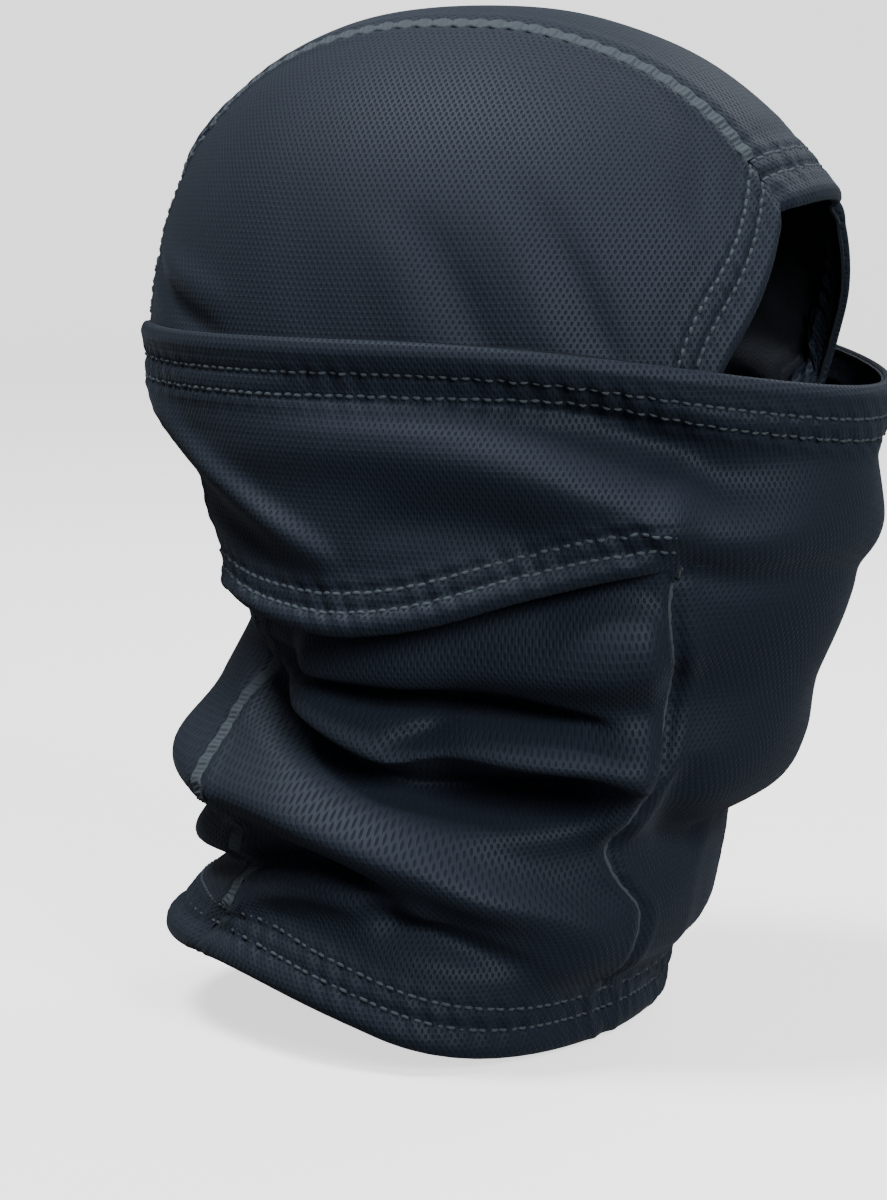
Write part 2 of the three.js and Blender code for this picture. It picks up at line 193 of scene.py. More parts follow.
def smooth(a, b, x):
    """0 before a, 1 after b, and a smooth step between."""
    t = np.clip((x - a) / (b - a), 0, 1)
    return t * t * (3 - 2 * t)


def mix(a, b, t):
    """a where t is 0, b where t is 1, and straight between them."""
    return a + (b - a) * t


def stack(x, y, z):
    """Points from three arrays or numbers that are spread to one shape."""
    return np.stack(np.broadcast_arrays(x, y, z), -1).astype(float)


def hood_point(angle, x):
    """Hood: angle runs from the face over the crown to the back, x is across. The side view is
    half a superellipse, shrunk by the root of 1 - (x / half width)^2."""
    angle = np.radians(angle)
    shrink = np.sqrt(np.clip(1 - (x / HOOD_HALF_WIDTH) ** 2, 0, 1))
    c, s = np.cos(angle), np.sin(angle)
    reach = np.where(c > 0, HOOD_FRONT, HOOD_BACK)
    power = 2 / np.where(c > 0, FRONT_ROUNDNESS, BACK_ROUNDNESS)
    return stack(x, -reach * shrink * np.sign(c) * np.abs(c) ** power,
                 HOOD_WIDEST_Z + CROWN_RISE * shrink * np.abs(s) ** power)


def half_width(y, z):
    """Distance of hood or neck from the middle plane over a point of the side view."""
    share = y / np.where(y < 0, read(NECK, z, 3), read(NECK, z, 2))
    neck = read(NECK, z, 1) * np.sqrt(np.clip(1 - share**2, 0, 1))
    reach = np.where(y < 0, HOOD_FRONT, HOOD_BACK)
    n = np.where(y < 0, FRONT_ROUNDNESS, BACK_ROUNDNESS)
    rise = np.clip((z - HOOD_WIDEST_Z) / CROWN_RISE, 0, 1)
    full = (np.abs(y) / reach) ** n + rise**n
    hood = HOOD_HALF_WIDTH * np.sqrt(np.clip(1 - full ** (2 / n), 0, 1))
    return np.where(z < HOOD_WIDEST_Z, neck, hood)


def neck_point(angle, z):
    """Neck: an ellipse at each level; angle is from the middle of the face to the wearer's right."""
    c, s = np.cos(np.radians(angle)), np.sin(np.radians(angle))
    reach = np.where(c > 0, read(NECK, z, 3), read(NECK, z, 2))
    return stack(-read(NECK, z, 1) * s, -reach * c, z)


def hem_z(y):
    """Height of the bottom hem, which rises smoothly from the front to the back."""
    return mix(HEM_FRONT_Z, HEM_BACK_Z, smooth(*HEM_SLOPE, y))


def outward(p):
    """Unit direction away from the body: the gradient of its ellipsoid, level below the hood."""
    z = p[..., 2]
    wide = read(NECK, z, 1)
    reach = np.where(p[..., 1] < 0, read(NECK, z, 3), read(NECK, z, 2))
    up = np.clip(z - HOOD_WIDEST_Z, 0, None) / CROWN_RISE**2
    n = stack(p[..., 0] / wide**2, p[..., 1] / reach**2, up)
    return n / np.linalg.norm(n, axis=-1, keepdims=True)


# ---- folds ----
# Each fold is a line in the side view with a height at each point. Level folds list (y, z, height)
# with how far they reach above and below; upright ones list (z, y, height) with front and back.
NECK_FOLDS = [
    ("level", [(-110, -40, 0), (-88, -44, 2), (-66, -46, 6.5), (-32, -48, 7.5), (0, -51, 7),
               (22, -54, 6), (33, -56, 0)], 13, 10),
    ("level", [(-68, -67, 0), (-52, -66, -7), (-33, -63.5, -9), (-4, -62, -9), (20, -60, -8),
               (32, -57, -6), (46, -54, -3), (60, -52, 0)], 3.6, 4.6),
    ("level", [(-76, -72, 0), (-60, -72, 5), (-34, -74, 6.5), (-6, -74, 6), (12, -69, 6.5),
               (28, -63, 4), (40, -60, 0)], 6, 7.5),
    ("level", [(-26, -70, 0), (-14, -71, -5), (-6, -72.5, -5), (4, -72, 0)], 3.2, 3.0),
    ("level", [(-74, -90, 0), (-62, -87, -6), (-36, -89, -10), (-20, -89, -11), (8, -84, -11),
               (26, -76, -10), (42, -66, -8), (56, -58, -5), (70, -50, 0)], 6.0, 6.5),
    ("level", [(-72, -94, 0), (-56, -90, -7), (-38, -87, -9), (-20, -83, -7), (0, -80, 0)], 8.5, 8),
    ("level", [(-60, -128, 0), (-48, -121, 5), (-34, -114, 8.5), (-14, -103, 10), (12, -94, 10),
               (40, -88, 9.5), (62, -84, 8), (80, -82, 4), (92, -82, 2)], 6.5, 12),
    ("level", [(-14, -119, 0), (0, -114, -5), (14, -110, -8), (32, -111, -8), (50, -115, -7),
               (74, -119, -5), (96, -120, -4)], 4.2, 5.2),
    ("level", [(-30, -126, 0), (-12, -120, 3), (6, -117, 4), (20, -114.5, 5), (36, -118, 4.5),
               (56, -124, 3), (74, -128, 0)], 5, 7),
    ("level", [(-46, -138, 0), (-34, -134, -3), (-18, -127, -4.5), (-4, -123, -4), (8, -120, 0)], 4, 6),
    ("level", [(40, -136, 0), (56, -134, -1.6), (80, -134, -2.4), (98, -134, -2)], 4, 5),
    ("level", [(48, -102, 0), (64, -101, -3.4), (84, -100, -4), (98, -100, -3)], 3.4, 3.6),
    ("upright", [(-150, -49, 0), (-138, -54, 2.6), (-122, -56, 4.5), (-112, -56, 3),
                 (-104, -56, 0)], 9, 12),
    ("upright", [(-118, -66, 0), (-104, -70, -4.5), (-88, -76, -3.6), (-76, -80, 0)], 5, 5),
    ("upright", [(-104, -60, 0), (-96, -62, 4), (-84, -66, 5), (-70, -66, 3), (-58, -62, 0)], 7, 8),
]
HOOD_FOLDS = [
    ("upright", [(24, -37, 0), (36, -31, -1.7), (48, -25, -1.8), (60, -18, -1.2), (76, -10, 0)], 6, 7),
    ("upright", [(24, -16, 0), (38, -12, 1.2), (56, -4, 1.1), (76, 4, 0)], 8, 8),
    ("upright", [(24, -66, 0), (38, -61, -1.5), (54, -54, -1.5), (68, -46, -0.8), (84, -38, 0)], 5, 7),
    ("upright", [(24, -52, 0), (40, -46, 1.0), (62, -36, 0.9), (84, -28, 0)], 7, 7),
    ("upright", [(60, -84, 0), (70, -82, -1.4), (82, -79, -1.8), (94, -73, -1.0), (104, -66, 0)], 4, 5),
    ("upright", [(24, 12, 0), (40, 18, -0.9), (60, 24, -0.7), (90, 30, 0)], 9, 9),
    ("upright", [(74, 88, 0), (84, 83, 1.5), (94, 78, 1.6), (104, 69, 0)], 4, 4),
    ("level", [(44, 34, 0), (58, 38, -1.6), (72, 43, -2.2), (84, 50, -1.4), (94, 58, 0)], 3.5, 4),
    ("level", [(40, 42, 0), (56, 47, 1.2), (74, 53, 1.6), (88, 60, 0)], 5, 5),
]
MASK_FOLDS = [
    ("level", [(-134, 8, 0), (-112, 4, -3), (-96, 2, -6), (-84, 7, -8), (-66, 15, -7.5),
               (-46, 21, -5), (-20, 24, -3), (10, 25, -2), (40, 22, 0)], 9, 10),
    ("level", [(-120, -14, 0), (-100, -17, 3), (-84, -15, 3.5), (-68, -9, 3.2), (-50, 0, 3.6),
               (-22, 7, 3.2), (16, 9, 2.4), (44, 6, 1), (60, 3, 0)], 9, 10),
    ("level", [(4, -26, 0), (14, -21, 2.0), (32, -12, 3.4), (54, 0, 3.0), (74, 12, 2.2),
               (92, 20, 0)], 4.5, 7),
    ("level", [(20, -26, 0), (36, -20, -1.6), (58, -10, -2.2), (78, -2, -1.6), (92, 4, 0)], 5, 6),
    ("level", [(-126, -30, 0), (-108, -29, -1.6), (-92, -27, -2.4), (-76, -20, -2.0),
               (-58, -12, 0)], 5, 6),
    ("level", [(-60, -20, 0), (-40, -14, -1.8), (-14, -12, -2.0), (10, -16, 0)], 7, 7),
    ("upright", [(-30, -70, 0), (-22, -74, 2), (-10, -79, 2.5), (2, -84, 1.6), (12, -88, 0)], 6, 7),
]


def raised(folds, y, z):
    """Sum of the folds' heights: each is a bell, exp(-(d / reach)^2), across its own line."""
    total = np.zeros(np.broadcast(y, z).shape)
    for kind, points, far, near in folds:
        rows = np.array(points, float)
        run, across = (y, z) if kind == "level" else (z, y)
        off = across - read(rows, run, 1)
        height = read(rows, run, 2) * ((run >= rows[0, 0]) & (run <= rows[-1, 0]))
        if kind == "upright":
            off = -off
        reach = np.where(off > 0, far, near)
        total += height * np.exp(-((off / reach) ** 2))
    return total


def ripple(p, scale, seed):
    """Slow uneven waves: a fixed sum of sines along turned directions."""
    rng = np.random.default_rng(seed)
    total = np.zeros(p.shape[:-1])
    for _ in range(9):
        direction = rng.normal(size=3)
        direction /= np.linalg.norm(direction)
        step = scale * rng.uniform(0.6, 1.7)
        total += np.sin((p @ direction) * 2 * math.pi / step + rng.uniform(0, 6.28))
    return total / 9


def chin_share(p):
    """How far the chin's cloth is carried out to the mask: all the way at the mask's lower edge,
    none below the chin or behind the front seams."""
    z = p[..., 2]
    angle = longitude(p)[..., 0]
    seam = read(FRONT_SEAM, z)
    return smooth(-64, -26, z) * smooth(-12, -22, z) * smooth(seam + 22, seam + 1, angle)


def carried_out(p):
    """Points of the bare body, moved to the mask's surface where the chin hangs from it."""
    angle = longitude(p)[..., 0] * np.where(p[..., 0] > 0, -1, 1)
    return mix(p, mask_surface(angle, p[..., 2]), chin_share(p)[..., None])


def neck_amount(z):
    """0 over the hood and 1 on the neck."""
    return smooth(-34, -48, z)


def pouch(p):
    """The side's cloth hangs over in front of its seam like a pouch, and the seam draws it in."""
    z = p[..., 2]
    behind = longitude(p)[..., 0] - read(FRONT_SEAM, z)
    full = smooth(-26, -42, z) * smooth(-92, -76, z)
    bulge = 5.5 * smooth(-1.5, 5.5, behind) * smooth(38, 10, behind)
    crease = np.exp(-((behind / 1.8) ** 2))
    return full * (bulge - 2.2 * crease) - 0.9 * crease * smooth(-60, -80, z)


def pressed(p, y, z):
    """How far the mask presses the hood's cloth in: its own dips and a little more, under it."""
    angle = longitude(p)[..., 0]
    under = smooth(mask_top(angle) + 1, mask_top(angle) - 9, p[..., 2]) * smooth(-44, -34, p[..., 2])
    room = MASK_FOLD_GAIN * raised(MASK_FOLDS, y, z) + MASK_STAND - MASK_ROOM
    return under * (1 - chin_share(p)) * (np.clip(room, None, 0) - 0.9)


def draped(p):
    """Moves points of the bare body outwards by the folds of the neck and the wrinkles of the hood.
    The left side has the same folds, a little shifted and softer."""
    left = smooth(-6, 10, p[..., 0])
    y = p[..., 1] + 5 * left * np.sin(p[..., 2] / 17)
    z = p[..., 2] + 5 * left * np.sin(p[..., 1] / 23 + 1)
    high = raised(NECK_FOLDS, y, z) * (1 - 0.15 * left)
    high = np.where(high < 0, VALLEY_GAIN * high, ROLL_GAIN * high) + pouch(p)
    hem_hold = smooth(1, 20, p[..., 2] - hem_z(p[..., 1]))
    high = high * (0.25 + 0.75 * hem_hold)
    high = high + raised(HOOD_FOLDS, y, z)
    high = high + ripple(p, 46, 3) * mix(0.5, 2.2, neck_amount(p[..., 2])) * (0.3 + 0.7 * hem_hold)
    joined = chin_share(p) * np.exp(-((np.clip(p[..., 2] - MASK_LOW[0, 1], None, 0) / 11) ** 2))
    high = high * (1 - joined) + pressed(p, y, z)
    out = carried_out(p)
    onto_mask = mask_out(out) * (joined * mask_height(out))[..., None]
    moved = out + outward(p) * high[..., None] + onto_mask
    moved[..., 2] -= SAG * np.clip(high, 0, None) * hem_hold * neck_amount(p[..., 2])
    return moved


# ---- panels as grids of points ----
def seam_x(z):
    """Half width of the centre strip at a height."""
    return read(STRIP, z, 1)


def strip_line(t):
    """The strip's middle line: height of each row, so that its half width can be read."""
    angle = mix(BROW_ANGLE, 180, np.clip(t / HOOD_SHARE, 0, 1))
    z = mix(HOOD_WIDEST_Z, HEM_BACK_Z, np.clip((t - HOOD_SHARE) / (1 - HOOD_SHARE), 0, 1))
    return angle, z


def back_point(t, share):
    """Centre strip: t from brow to bottom hem, share across from -1 to 1. Over the hood an arc of
    the hood at that width; down the nape a level slice of the neck."""
    angle, z = strip_line(t)
    crown_z = hood_point(angle, 0.0)[..., 2]
    wide = seam_x(np.where(t < HOOD_SHARE, crown_z, z))
    x = wide * share
    hood = hood_point(angle, x)
    neck = stack(x, read(NECK, z, 2) * np.sqrt(np.clip(1 - (x / read(NECK, z, 1)) ** 2, 0, 1)), z)
    return np.where((t < HOOD_SHARE)[..., None], hood, neck)


def slice_reach(z, ahead):
    """Distance from the middle to the front or the back of the body's level slice at a height."""
    n = np.where(ahead, FRONT_ROUNDNESS, BACK_ROUNDNESS)
    full = np.where(ahead, HOOD_FRONT, HOOD_BACK)
    rise = np.clip((z - HOOD_WIDEST_Z) / CROWN_RISE, 0, 0.9999)
    neck = np.where(ahead, read(NECK, z, 3), read(NECK, z, 2))
    return np.where(z < HOOD_WIDEST_Z, neck, full * (1 - rise**n) ** (1 / n))


def longitude(p):
    """Turns y into degrees round the level slice, 0 in front and 180 at the back."""
    y, z = p[..., 1], p[..., 2]
    return np.stack([np.degrees(np.arccos(np.clip(-y / slice_reach(z, y < 0), -1, 1))), z], -1)


def from_longitude(angle, z):
    """The point of the wearer's right side at degrees from the front and a height."""
    c = np.cos(np.radians(angle))
    y = -slice_reach(z, c > 0) * c
    return stack(-half_width(y, z), y, z)


def side_edges(u, v):
    """The edges of a side panel as (longitude, height): crown seam, face side and back."""
    t0 = (CORNER_ANGLE - BROW_ANGLE) / (180 - BROW_ANGLE) * HOOD_SHARE
    top = longitude(back_point(t0 * u, -1 + 0 * u))
    t = np.where(v < CORNER_SHARE, mix(t0, HOOD_SHARE, v / CORNER_SHARE),
                 mix(HOOD_SHARE, 1, (v - CORNER_SHARE) / (1 - CORNER_SHARE)))
    back = longitude(back_point(t, -1 + 0 * v))
    brow = longitude(back_point(np.array([0.0]), np.array([-1.0])))
    opening = longitude(stack(0.0, FACE_EDGE[:, 0], FACE_EDGE[:, 1]))
    junction = np.array([[read(FRONT_SEAM, JUNCTION_Z), JUNCTION_Z]])
    rows = np.vstack([brow, opening, junction])
    keys = np.linspace(0, FACE_SHARE, len(rows))
    face = np.stack([read(np.column_stack([keys, rows[:, k]]), v) for k in (0, 1)], -1)
    z = mix(JUNCTION_Z, front_low(), np.clip((v - FACE_SHARE) / (1 - FACE_SHARE), 0, 1))
    seam = np.stack([read(FRONT_SEAM, z), z], -1)
    return top, np.where((v < FACE_SHARE)[..., None], face, seam), back


def front_low():
    """Height of the bottom hem at the front panel's seam."""
    return hem_z(neck_point(read(FRONT_SEAM, HEM_FRONT_Z), HEM_FRONT_Z)[1])


def side_point(u, v):
    """Side panel: a Coons patch between its edges, drawn as longitude and height."""
    top, front, back = side_edges(u, v)
    corners = side_edges(np.array([0.0, 1.0]), np.array([0.0, 1.0]))
    low_left, low_right = corners[1][1], corners[2][1]
    angle = mix(low_left[0], low_right[0], u)
    guess = from_longitude(angle, mix(low_left[1], low_right[1], u))
    bottom = np.stack([angle, hem_z(guess[..., 1])], -1)
    u, v = u[..., None], v[..., None]
    p = ((1 - v) * top + v * bottom + (1 - u) * front + u * back
         - (1 - u) * (1 - v) * corners[0][0] - u * (1 - v) * corners[0][1]
         - (1 - u) * v * low_left - u * v * low_right)
    return from_longitude(p[..., 0], p[..., 1])


def front_point(u, v):
    """Front panel: level arcs of the neck between its two seams, from under the mask to the hem."""
    guess = mix(MASK_LOW[0, 1], front_low(), v)
    angle = mix(1, -1, u) * read(FRONT_SEAM, guess)
    return neck_point(angle, mix(mask_low(angle), front_low(), v))


def mask_top(angle):
    """Height of the mask's top edge: level at the sides, lower in front by the squared cosine."""
    return MASK_TOP_Z - MASK_TOP_FALL * np.clip(np.cos(np.radians(angle)), 0, 1) ** 2


def mask_low(angle):
    """Height of the mask's lower edge."""
    return read(MASK_LOW, np.abs(angle))


def mask_surface(angle, z):
    """Mask: an ellipse at each level that stands a little off the hood, and meets it at the nape."""
    c, s = np.cos(np.radians(angle)), np.sin(np.radians(angle))
    sewn = smooth(120, 156, np.abs(angle))
    off = mix(MASK_STAND, MASK_SEWN_STAND, sewn)
    wide = np.maximum(read(NECK, z, 1), HOOD_HALF_WIDTH - 1) * (1 - sewn) + read(NECK, z, 1) * sewn + off
    reach = np.where(c > 0, read(MASK_FRONT, z), read(NECK, z, 2) + off)
    return stack(-wide * s, -reach * c, z)


def mask_angle(u, v):
    """Degrees from the middle of the face for a share across the mask, out to its nape seams."""
    z_end = mix(MASK_TOP_Z, MASK_NAPE_Z, v)
    end = 180 - np.degrees(np.arcsin(np.clip(seam_x(z_end) / (read(NECK, z_end, 1) + 2), 0, 1)))
    return mix(1, -1, u) * end


def mask_point(u, v):
    """Mask and wings: u from the right nape seam round the face to the left, v down."""
    angle = mask_angle(u, v)
    return mask_surface(angle, mix(mask_top(angle), mask_low(angle), v))


def wing_share(angle):
    """0 where the mask runs on into the chin, 1 where its lower edge hangs free."""
    return smooth(41, 55, np.abs(angle))


def mask_out(p):
    """Level unit direction away from the mask's middle."""
    n = stack(p[..., 0] / MASK_HALF_WIDTH**2, p[..., 1] / MASK_REACH**2, 0)
    return n / np.linalg.norm(n, axis=-1, keepdims=True)


def mask_height(p):
    """Height of the mask's folds and slow waves over its bare surface."""
    left = smooth(-4, 12, p[..., 0])
    z = p[..., 2] + 3 * left * np.sin(p[..., 1] / 21)
    return MASK_FOLD_GAIN * (raised(MASK_FOLDS, p[..., 1] + 4 * left, z) + ripple(p, 60, 11))


def mask_draped(p, v_top, v_low, wing):
    """Moves the mask outwards by its folds, which fade towards the taut top hem, and lets the
    free lower edge flare a little."""
    high = mask_height(p) * smooth(3, 17, v_top)
    flare = 2.2 * wing * np.exp(-((v_low / 9) ** 2))
    return p + mask_out(p) * (high + flare)[..., None]


# ---- meshes ----
def normals(p):
    """Unit normals of a grid from its central differences."""
    n = np.cross(np.gradient(p, axis=1), np.gradient(p, axis=0))
    n /= np.maximum(np.linalg.norm(n, axis=-1, keepdims=True), SHORT_REACH)
    sign = np.sign(np.mean(np.sum(n * outward(p), -1)))
    return n * sign


def lengths(p, axis):
    """Running length along one axis of a grid, in the same unit."""
    step = np.linalg.norm(np.diff(p, axis=axis), axis=-1)
    run = np.cumsum(step, axis=axis)
    pad = [(0, 0), (0, 0)]
    pad[axis] = (1, 0)
    return np.pad(run, pad)


def turned(p, n, uv, share, axis, end):
    """Turns one edge of a sheet in with a half circle. share is how much of the half circle is
    turned, one number or one for each point of the edge."""
    share = np.reshape(np.maximum(share, 0.03), (-1, 1))
    if axis == 1:
        p, n, uv = (a.swapaxes(0, 1) for a in (p, n, uv))
    if end:
        p, n, uv = p[::-1], n[::-1], uv[::-1]
    into = p[1] - p[0]
    into -= np.sum(into * n[0], -1, keepdims=True) * n[0]
    into /= np.maximum(np.linalg.norm(into, axis=-1, keepdims=True), SHORT_REACH)
    phi = np.linspace(math.pi, 0, 9)[:-1][:, None, None] * share
    curl = p[0] - TURN * (1 - np.cos(phi)) * n[0] - TURN * np.sin(phi) * into
    step = uv[1] - uv[0]
    unit = step / np.maximum(np.linalg.norm(step, axis=-1, keepdims=True), SHORT_REACH)
    p = np.concatenate([curl, p])
    uv = np.concatenate([uv[0] - unit * TURN * phi, uv])
    if end:
        p, uv = p[::-1], uv[::-1]
    if axis == 1:
        p, uv = p.swapaxes(0, 1), uv.swapaxes(0, 1)
    return p, uv


def grid_mesh(name, p, uv=None, close_u=False, flip=False):
    """A mesh from a grid of points in millimetres, with its UV map in millimetres too."""
    rows, cols = p.shape[:2]
    index = np.arange(rows * cols).reshape(rows, cols)
    if close_u:
        index = np.concatenate([index, index[:, :1]], 1)
    quads = np.stack([index[:-1, :-1], index[:-1, 1:], index[1:, 1:], index[1:, :-1]], -1).reshape(-1, 4)
    if flip:
        quads = quads[:, ::-1]
    name = PREFIX + name
    mesh = bpy.data.meshes.new(name)
    mesh.from_pydata((p.reshape(-1, 3) * MM).tolist(), [], quads.tolist())
    if uv is not None:
        layer = mesh.uv_layers.new(name="cloth_mm")
        layer.data.foreach_set("uv", uv.reshape(-1, 2)[quads.ravel()].astype(np.float32).ravel())
    mesh.polygons.foreach_set("use_smooth", np.ones(len(quads), bool))
    mesh.update()
    piece = bpy.data.objects.new(name, mesh)
    bpy.context.scene.collection.objects.link(piece)
    return piece


def outer_side(p, want):
    """Whether a grid's faces have to be flipped to look along the wanted direction."""
    n = np.cross(p[1:, :-1] - p[:-1, :-1], p[:-1, 1:] - p[:-1, :-1])
    facing = np.mean(np.sum(n * want[:-1, :-1], -1))
    return facing > 0


def cloth(name, p, uv, material):
    """A sheet with its outer face on the grid and its thickness inwards."""
    piece = grid_mesh(name, p, uv, flip=outer_side_of(p))
    piece.data.materials.append(material)
    piece.data.materials.append(bpy.data.materials["brushed_fleece"])
    solid = piece.modifiers.new("thickness", "SOLIDIFY")
    solid.thickness = settings().cloth_thickness
    solid.offset = -1
    solid.material_offset = 1
    solid.material_offset_rim = 0
    return piece


def outer_side_of(p):
    """Whether the faces of a grid round the body have to be flipped to look outwards."""
    middle = p[p.shape[0] // 3: 2 * p.shape[0] // 3, p.shape[1] // 3: 2 * p.shape[1] // 3]
    return outer_side(middle, outward(middle))


def tube_between(name, line, n, side, section, along, material):
    """A profile carried along a line: section(s) gives offsets across and out at each length s."""
    across, out = section(along)
    p = line[:, None] + side[:, None] * across[..., None] + n[:, None] * out[..., None]
    piece = grid_mesh(name, p, close_u=True)
    piece.data.materials.append(material)
    return piece


def line_frame(line, n):
    """Lengths along a line and the direction across it, square to its normal."""
    tangent = np.gradient(line, axis=0)
    tangent /= np.maximum(np.linalg.norm(tangent, axis=-1, keepdims=True), SHORT_REACH)
    side = np.cross(n, tangent)
    side /= np.maximum(np.linalg.norm(side, axis=-1, keepdims=True), SHORT_REACH)
    along = np.concatenate([[0], np.cumsum(np.linalg.norm(np.diff(line, axis=0), axis=-1))])
    return along, side


def even(line, n, step):
    """The same line with points at even steps."""
    along = np.concatenate([[0], np.cumsum(np.linalg.norm(np.diff(line, axis=0), axis=-1))])
    at = np.linspace(0, along[-1], max(int(along[-1] / step), 8))
    line = np.stack([np.interp(at, along, line[:, k]) for k in range(3)], -1)
    n = np.stack([np.interp(at, along, n[:, k]) for k in range(3)], -1)
    return line, n / np.linalg.norm(n, axis=-1, keepdims=True)


STITCH_GAP = 0.55
LEAST_FLAT = 0.01  # least side in metres that a flat size may have
PREFIX = "soft_"  # what the name of each finished piece starts with
NECK_ROWS = (8.0, 14.0)
FACE_ROWS = (10.0, 16.5)
MASK_ROWS = (9.0, 15.5)
WING_ROWS = (6.5, 12.0)
FACE_HEM_DEPTH, MASK_HEM_DEPTH, WING_HEM_DEPTH, NECK_HEM_DEPTH = 16, 15, 12, 15.5


def stitch_pitch():
    """Length of one stitch and its gap."""
    return settings().stitch_length / MM + STITCH_GAP


def needle_row(name, line, n, material, radius=0.42, rise=0.12):
    """Coverstitch row: a thread that swells over each stitch and dips into the cloth between."""
    line, n = even(line, n, 0.3)
    around = np.linspace(0, 2 * math.pi, 8, endpoint=False)
    pitch = stitch_pitch()

    def section(s):
        phase = np.mod(s / pitch, 1)
        body = np.clip(1.12 * np.sin(math.pi * phase) - 0.12, 0, 1) ** 0.6
        r = (0.12 + radius * body)[:, None]
        out = rise * body[:, None] - 0.6 * (1 - body[:, None])
        return r * np.cos(around), 0.75 * r * np.sin(around) + out

    along, side = line_frame(line, n)
    return tube_between(name, line, n, side, section, along, material)


def flatlock(name, line, n, material, pitch=1.55, height=0.5):
    """Flatlock seam: a low band with raised edges and cross threads, like the rungs of a ladder."""
    line, n = even(line + 0.45 * n, n, 0.22)
    share = np.linspace(-1, 1, 13)
    width = settings().seam_width / MM

    def section(s):
        rung = 0.5 + 0.5 * np.cos(2 * math.pi * (s[:, None] / pitch + 0.12 * share))
        edge = np.exp(-((np.abs(share) - 0.78) / 0.16) ** 2)
        bead = 0.6 + 0.4 * np.cos(2 * math.pi * s[:, None] / (pitch * 0.5))
        middle = np.exp(-(share / 0.75) ** 6)
        top = 0.10 + height * (0.75 * rung**0.7 * middle + 0.85 * edge * bead) * (1 - 0.25 * share**2)
        top = top * (1 - smooth(0.93, 1.0, np.abs(share)))
        across = np.concatenate([share, share[::-1]]) * width / 2
        across = np.broadcast_to(across, (len(s), 26))
        return across, np.concatenate([top, np.full_like(top, -0.45)], 1)

    along, side = line_frame(line, n)
    return tube_between(name, line, n, side, section, along, material)


def welt(name, line, n, material, radius=0.8, sink=0.55):
    """A plain turned seam: a narrow smooth ridge, mostly sunk between the two cloths."""
    line, n = even(line - sink * n, n, 0.8)
    around = np.linspace(0, 2 * math.pi, 12, endpoint=False)

    def section(s):
        r = radius * (1 + 0.06 * np.sin(2 * math.pi * s[:, None] / 3.1))
        return r * np.cos(around), r * np.sin(around)

    along, side = line_frame(line, n)
    return tube_between(name, line, n, side, section, along, material)


def baked(piece):
    """Applies the piece's modifiers, so that what rides a joint is the finished mesh."""
    bpy.context.view_layer.update()
    done = bpy.data.meshes.new_from_object(piece.evaluated_get(bpy.context.evaluated_depsgraph_get()))
    piece.modifiers.clear()
    done.set_sharp_from_angle(angle=math.radians(55))
    piece.data = done
    return piece


# ---- shader node helpers ----
def node(tree, kind, **values):
    """One shader node with some of its properties set."""
    made = tree.nodes.new(kind)
    for key, value in values.items():
        setattr(made, key, value)
    return made


def calc(tree, operation, *inputs):
    """One math node; numbers go straight on its sockets and sockets are linked."""
    made = node(tree, "ShaderNodeMath", operation=operation)
    for socket, value in zip(made.inputs, inputs):
        if isinstance(value, (int, float)):
            socket.default_value = value
        else:
            tree.links.new(value, socket)
    return made.outputs[0]


def new_group(name, inputs, outputs):
    """An empty shader node group with its sockets, and its input and output nodes."""
    group = bpy.data.node_groups.new(name, "ShaderNodeTree")
    for label, kind, value in inputs:
        socket = group.interface.new_socket(label, in_out="INPUT", socket_type=kind)
        if value is not None:
            socket.default_value = value
    for label, kind in outputs:
        group.interface.new_socket(label, in_out="OUTPUT", socket_type=kind)
    return group, node(group, "NodeGroupInput"), node(group, "NodeGroupOutput")


def mesh_knit_group():
    """Bird-eye mesh knit: tall dimples in rows shifted by half a column. Height 1 is the yarn; Dimple
    marks the recesses where the knit material paints shade.
    """
    group, source, result = new_group(
        "mesh_knit",
        [("Cloth mm", "NodeSocketVector", None),
         ("Column", "NodeSocketFloat", 1.8),
         ("Row", "NodeSocketFloat", 1.5)],
        [("Height", "NodeSocketFloat"), ("Dimple", "NodeSocketFloat")])
    axes = node(group, "ShaderNodeSeparateXYZ")
    group.links.new(source.outputs["Cloth mm"], axes.inputs[0])
    down = calc(group, "DIVIDE", axes.outputs[1], source.outputs["Row"])
    shift = calc(group, "MULTIPLY", calc(group, "FLOORED_MODULO", calc(group, "FLOOR", down), 2.0), 0.5)
    across = calc(group, "ADD", calc(group, "DIVIDE", axes.outputs[0], source.outputs["Column"]), shift)
    x = calc(group, "DIVIDE", calc(group, "SUBTRACT", calc(group, "FRACT", across), 0.5), 0.23)
    y = calc(group, "DIVIDE", calc(group, "SUBTRACT", calc(group, "FRACT", down), 0.5), 0.50)
    away = calc(group, "SQRT", calc(group, "ADD", calc(group, "POWER", calc(group, "ABSOLUTE", x), 2.0),
                                    calc(group, "POWER", calc(group, "ABSOLUTE", y), 2.0)))
    edge = node(group, "ShaderNodeMapRange", interpolation_type="SMOOTHSTEP")
    edge.inputs["From Min"].default_value = 0.45
    edge.inputs["From Max"].default_value = 1.15
    group.links.new(away, edge.inputs["Value"])
    ribs = calc(group, "SINE", calc(group, "MULTIPLY", axes.outputs[0], 6.2832 / 0.63))
    fine = calc(group, "MULTIPLY", ribs, 0.06)
    group.links.new(calc(group, "ADD", edge.outputs[0], fine), result.inputs["Height"])
    group.links.new(calc(group, "SUBTRACT", 1.0, edge.outputs[0]), result.inputs["Dimple"])
    return group


